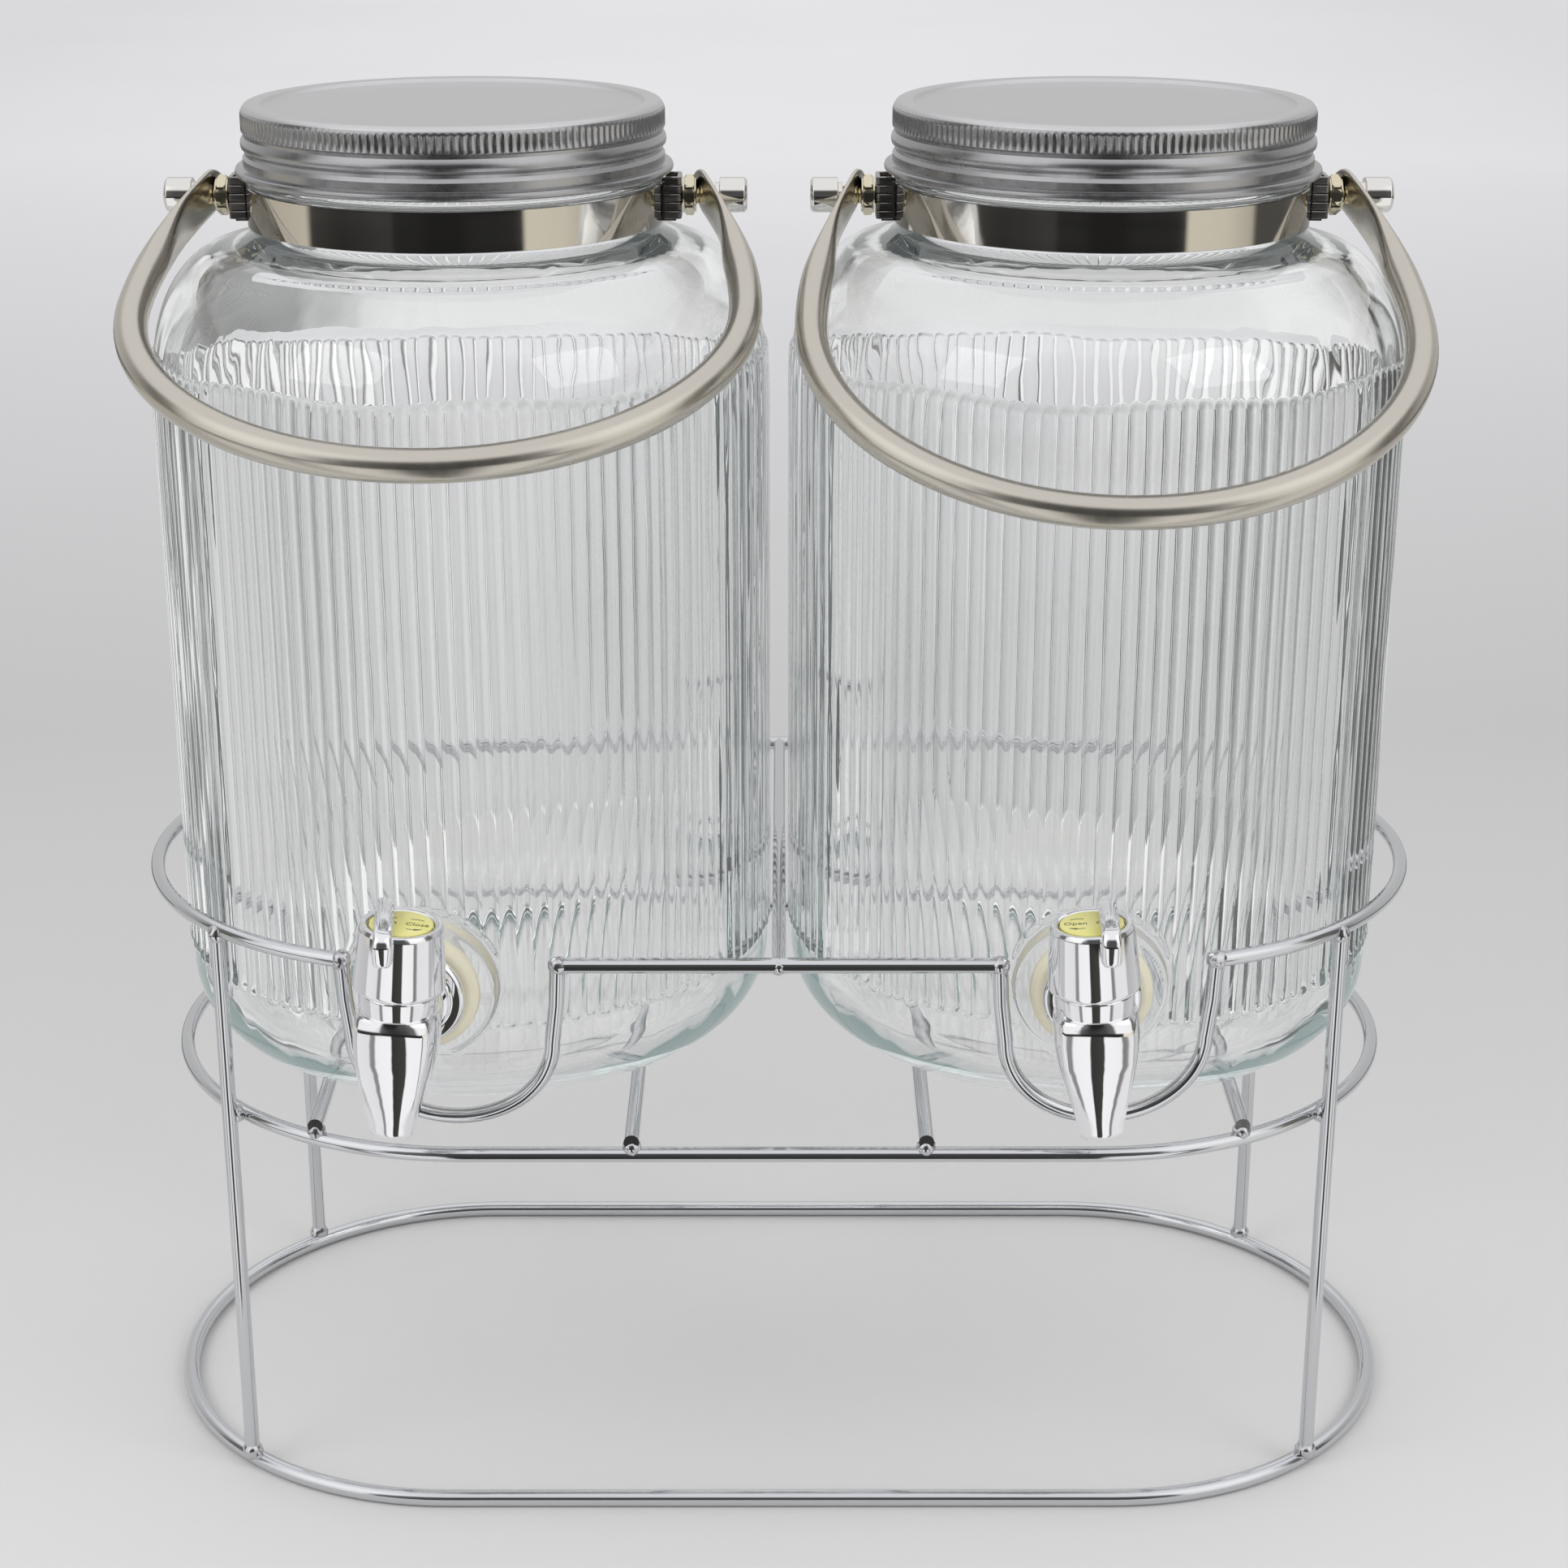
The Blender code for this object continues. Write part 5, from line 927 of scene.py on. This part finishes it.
def build_world():
    """Plain soft light; what shines and what is clear also sees darker and brighter parts of the room."""
    world = bpy.data.worlds.new("studio")
    bpy.context.scene.world = world
    world.use_nodes = True
    nodes, links = world.node_tree.nodes, world.node_tree.links
    place = nodes.new("ShaderNodeTexCoord")
    split = nodes.new("ShaderNodeSeparateXYZ")
    links.new(place.outputs["Generated"], split.inputs["Vector"])

    math = math_maker(nodes, links)

    def above(low, high):
        node = nodes.new("ShaderNodeMapRange")
        node.interpolation_type = "SMOOTHSTEP"
        node.inputs["From Min"].default_value = sin(radians(low))
        node.inputs["From Max"].default_value = sin(radians(high))
        links.new(split.outputs["Z"], node.inputs["Value"])
        return node.outputs["Result"]

    azimuth = math("ARCTAN2", split.outputs["X"], math("MULTIPLY", split.outputs["Y"], -1.0))
    share = math("ADD", math("DIVIDE", azimuth, 2 * pi), 0.5)
    steep = round_the_room(nodes, links, share, (
        (-180, 0.68, 0), (-120, 0.62, 0), (-84, 0.55, 0), (-80, 0.86, 0), (-52, 0.82, 0), (-49, 0.30, 0),
        (-43, 0.26, 0), (-40, 0.97, 0), (-14, 1.0, 0), (-12, 0.04, 0.3), (10, 0.06, 0.5), (12, 1.0, 0), (38, 0.97, 0),
        (41, 0.22, 0.3), (47, 0.30, 0.3), (50, 0.84, 0), (82, 0.86, 0), (86, 0.5, 0), (120, 0.62, 0), (180, 0.68, 0)))
    low = round_the_room(nodes, links, share, (
        (-180, 0.45, 0), (-150, 0.20, 0.5), (-121, 0.08, 0.6), (-117, 0.62, 1), (-84, 0.74, 1), (-80, 0.06, 0.5),
        (-60, 0.03, 0.5), (-30, 0.05, 0.3), (-28, 0.02, 0), (36, 0.02, 0), (41, 0.05, 0.5), (43, 0.90, 1), (66, 0.84, 1),
        (84, 0.62, 1), (88, 0.10, 0.5), (112, 0.10, 0.5), (140, 0.22, 0.4), (180, 0.45, 0)))
    walls = round_the_room(nodes, links, share, (
        (-180, 0.66, 0), (-125, 0.60, 0), (-104, 0.42, 0), (-98, 0.18, 0.3), (-84, 0.16, 0.3), (-78, 0.92, 0),
        (-36, 1.0, 0), (-31, 0.20, 0), (-12, 0.08, 0), (14, 0.08, 0), (28, 0.16, 0), (33, 1.0, 0), (72, 0.95, 0),
        (78, 0.2, 0.3), (94, 0.14, 0.3), (100, 0.45, 0), (125, 0.60, 0), (180, 0.66, 0)))
    room = blend(nodes, links, above(-13.5, -11.5), steep, low)
    room = blend(nodes, links, above(-8, -2), room, walls)
    room = blend(nodes, links, above(28, 44), room, (0.93, 0.93, 0.95, 1))
    for side in (-1, 1):
        lamp = Vector((0.9 * side, -0.7, 0.9)).normalized()
        parts = [math("MULTIPLY", split.outputs[k], lamp[k]) for k in range(3)]
        facing = math("ADD", math("ADD", parts[0], parts[1]), parts[2])
        glow = nodes.new("ShaderNodeMapRange")
        glow.interpolation_type = "SMOOTHSTEP"
        glow.inputs["From Min"].default_value = cos(radians(30))
        glow.inputs["From Max"].default_value = cos(radians(9))
        links.new(facing, glow.inputs["Value"])
        room = blend(nodes, links, glow.outputs["Result"], room, (1.2, 1.2, 1.2, 1))
    through = round_the_room(nodes, links, share, (
        (-180, 0.76, 0), (-172, 0.80, 0), (-169, 0.25, 0), (-160, 0.25, 0), (-157, 0.95, 0), (-146, 0.95, 0),
        (-143, 0.18, 0), (-130, 0.20, 0), (-127, 0.86, 0), (-95, 0.58, 0),
        (-62, 0.9, 0), (-30, 0.8, 0), (0, 0.4, 0), (30, 0.8, 0), (62, 0.9, 0), (95, 0.5, 0), (121, 0.70, 0),
        (128, 0.78, 0), (131, 0.06, 0), (150, 0.06, 0), (153, 0.95, 0), (167, 0.90, 0), (171, 0.74, 0),
        (180, 0.76, 0)))
    through = blend(nodes, links, above(20, 50), through, (0.80, 0.80, 0.81, 1))
    path = nodes.new("ShaderNodeLightPath")
    mirrored = math("MULTIPLY", path.outputs["Is Glossy Ray"],
                    math("LESS_THAN", path.outputs["Transmission Depth"], 0.5))
    seen = blend(nodes, links, mirrored, through, room)
    seen = blend(nodes, links, path.outputs["Is Camera Ray"], seen, (0.70, 0.70, 0.712, 1))
    seen = blend(nodes, links, path.outputs["Is Diffuse Ray"], seen, (0.90, 0.90, 0.91, 1))
    links.new(seen, nodes["Background"].inputs["Color"])


def add_area(name, place, target, size, power):
    light = bpy.data.lights.new(name, "AREA")
    light.shape = "RECTANGLE"
    light.size, light.size_y = size
    light.energy = power
    item = bpy.data.objects.new(name, light)
    item.location = place
    item.rotation_euler = (Vector(target) - Vector(place)).to_track_quat("-Z", "Y").to_euler()
    item.visible_glossy = False
    bpy.context.scene.collection.objects.link(item)


def build_camera():
    data = bpy.data.cameras.new("camera")
    data.sensor_width = 36
    data.lens = 3670.9 / 1932 * 36
    data.clip_start = 0.05
    item = bpy.data.objects.new("camera", data)
    item.location = (0.0008, -0.7692 + SET_BACK * MM, 0.4536)
    item.rotation_euler = (radians(90 - 19.83), 0, radians(-0.04))
    bpy.context.scene.collection.objects.link(item)
    bpy.context.scene.camera = item


build_stand()
for side_name, way_out in SIDES:
    build_dispenser(side_name, way_out)
build_floor()
build_world()
add_area("softbox_left", (-0.9, -0.7, 1.1), (0, 0, 0.2), (0.7, 0.7), 4)
add_area("softbox_right", (0.9, -0.7, 1.1), (0, 0, 0.2), (0.7, 0.7), 4)
build_camera()
bpy.context.scene.view_settings.view_transform = "Standard"
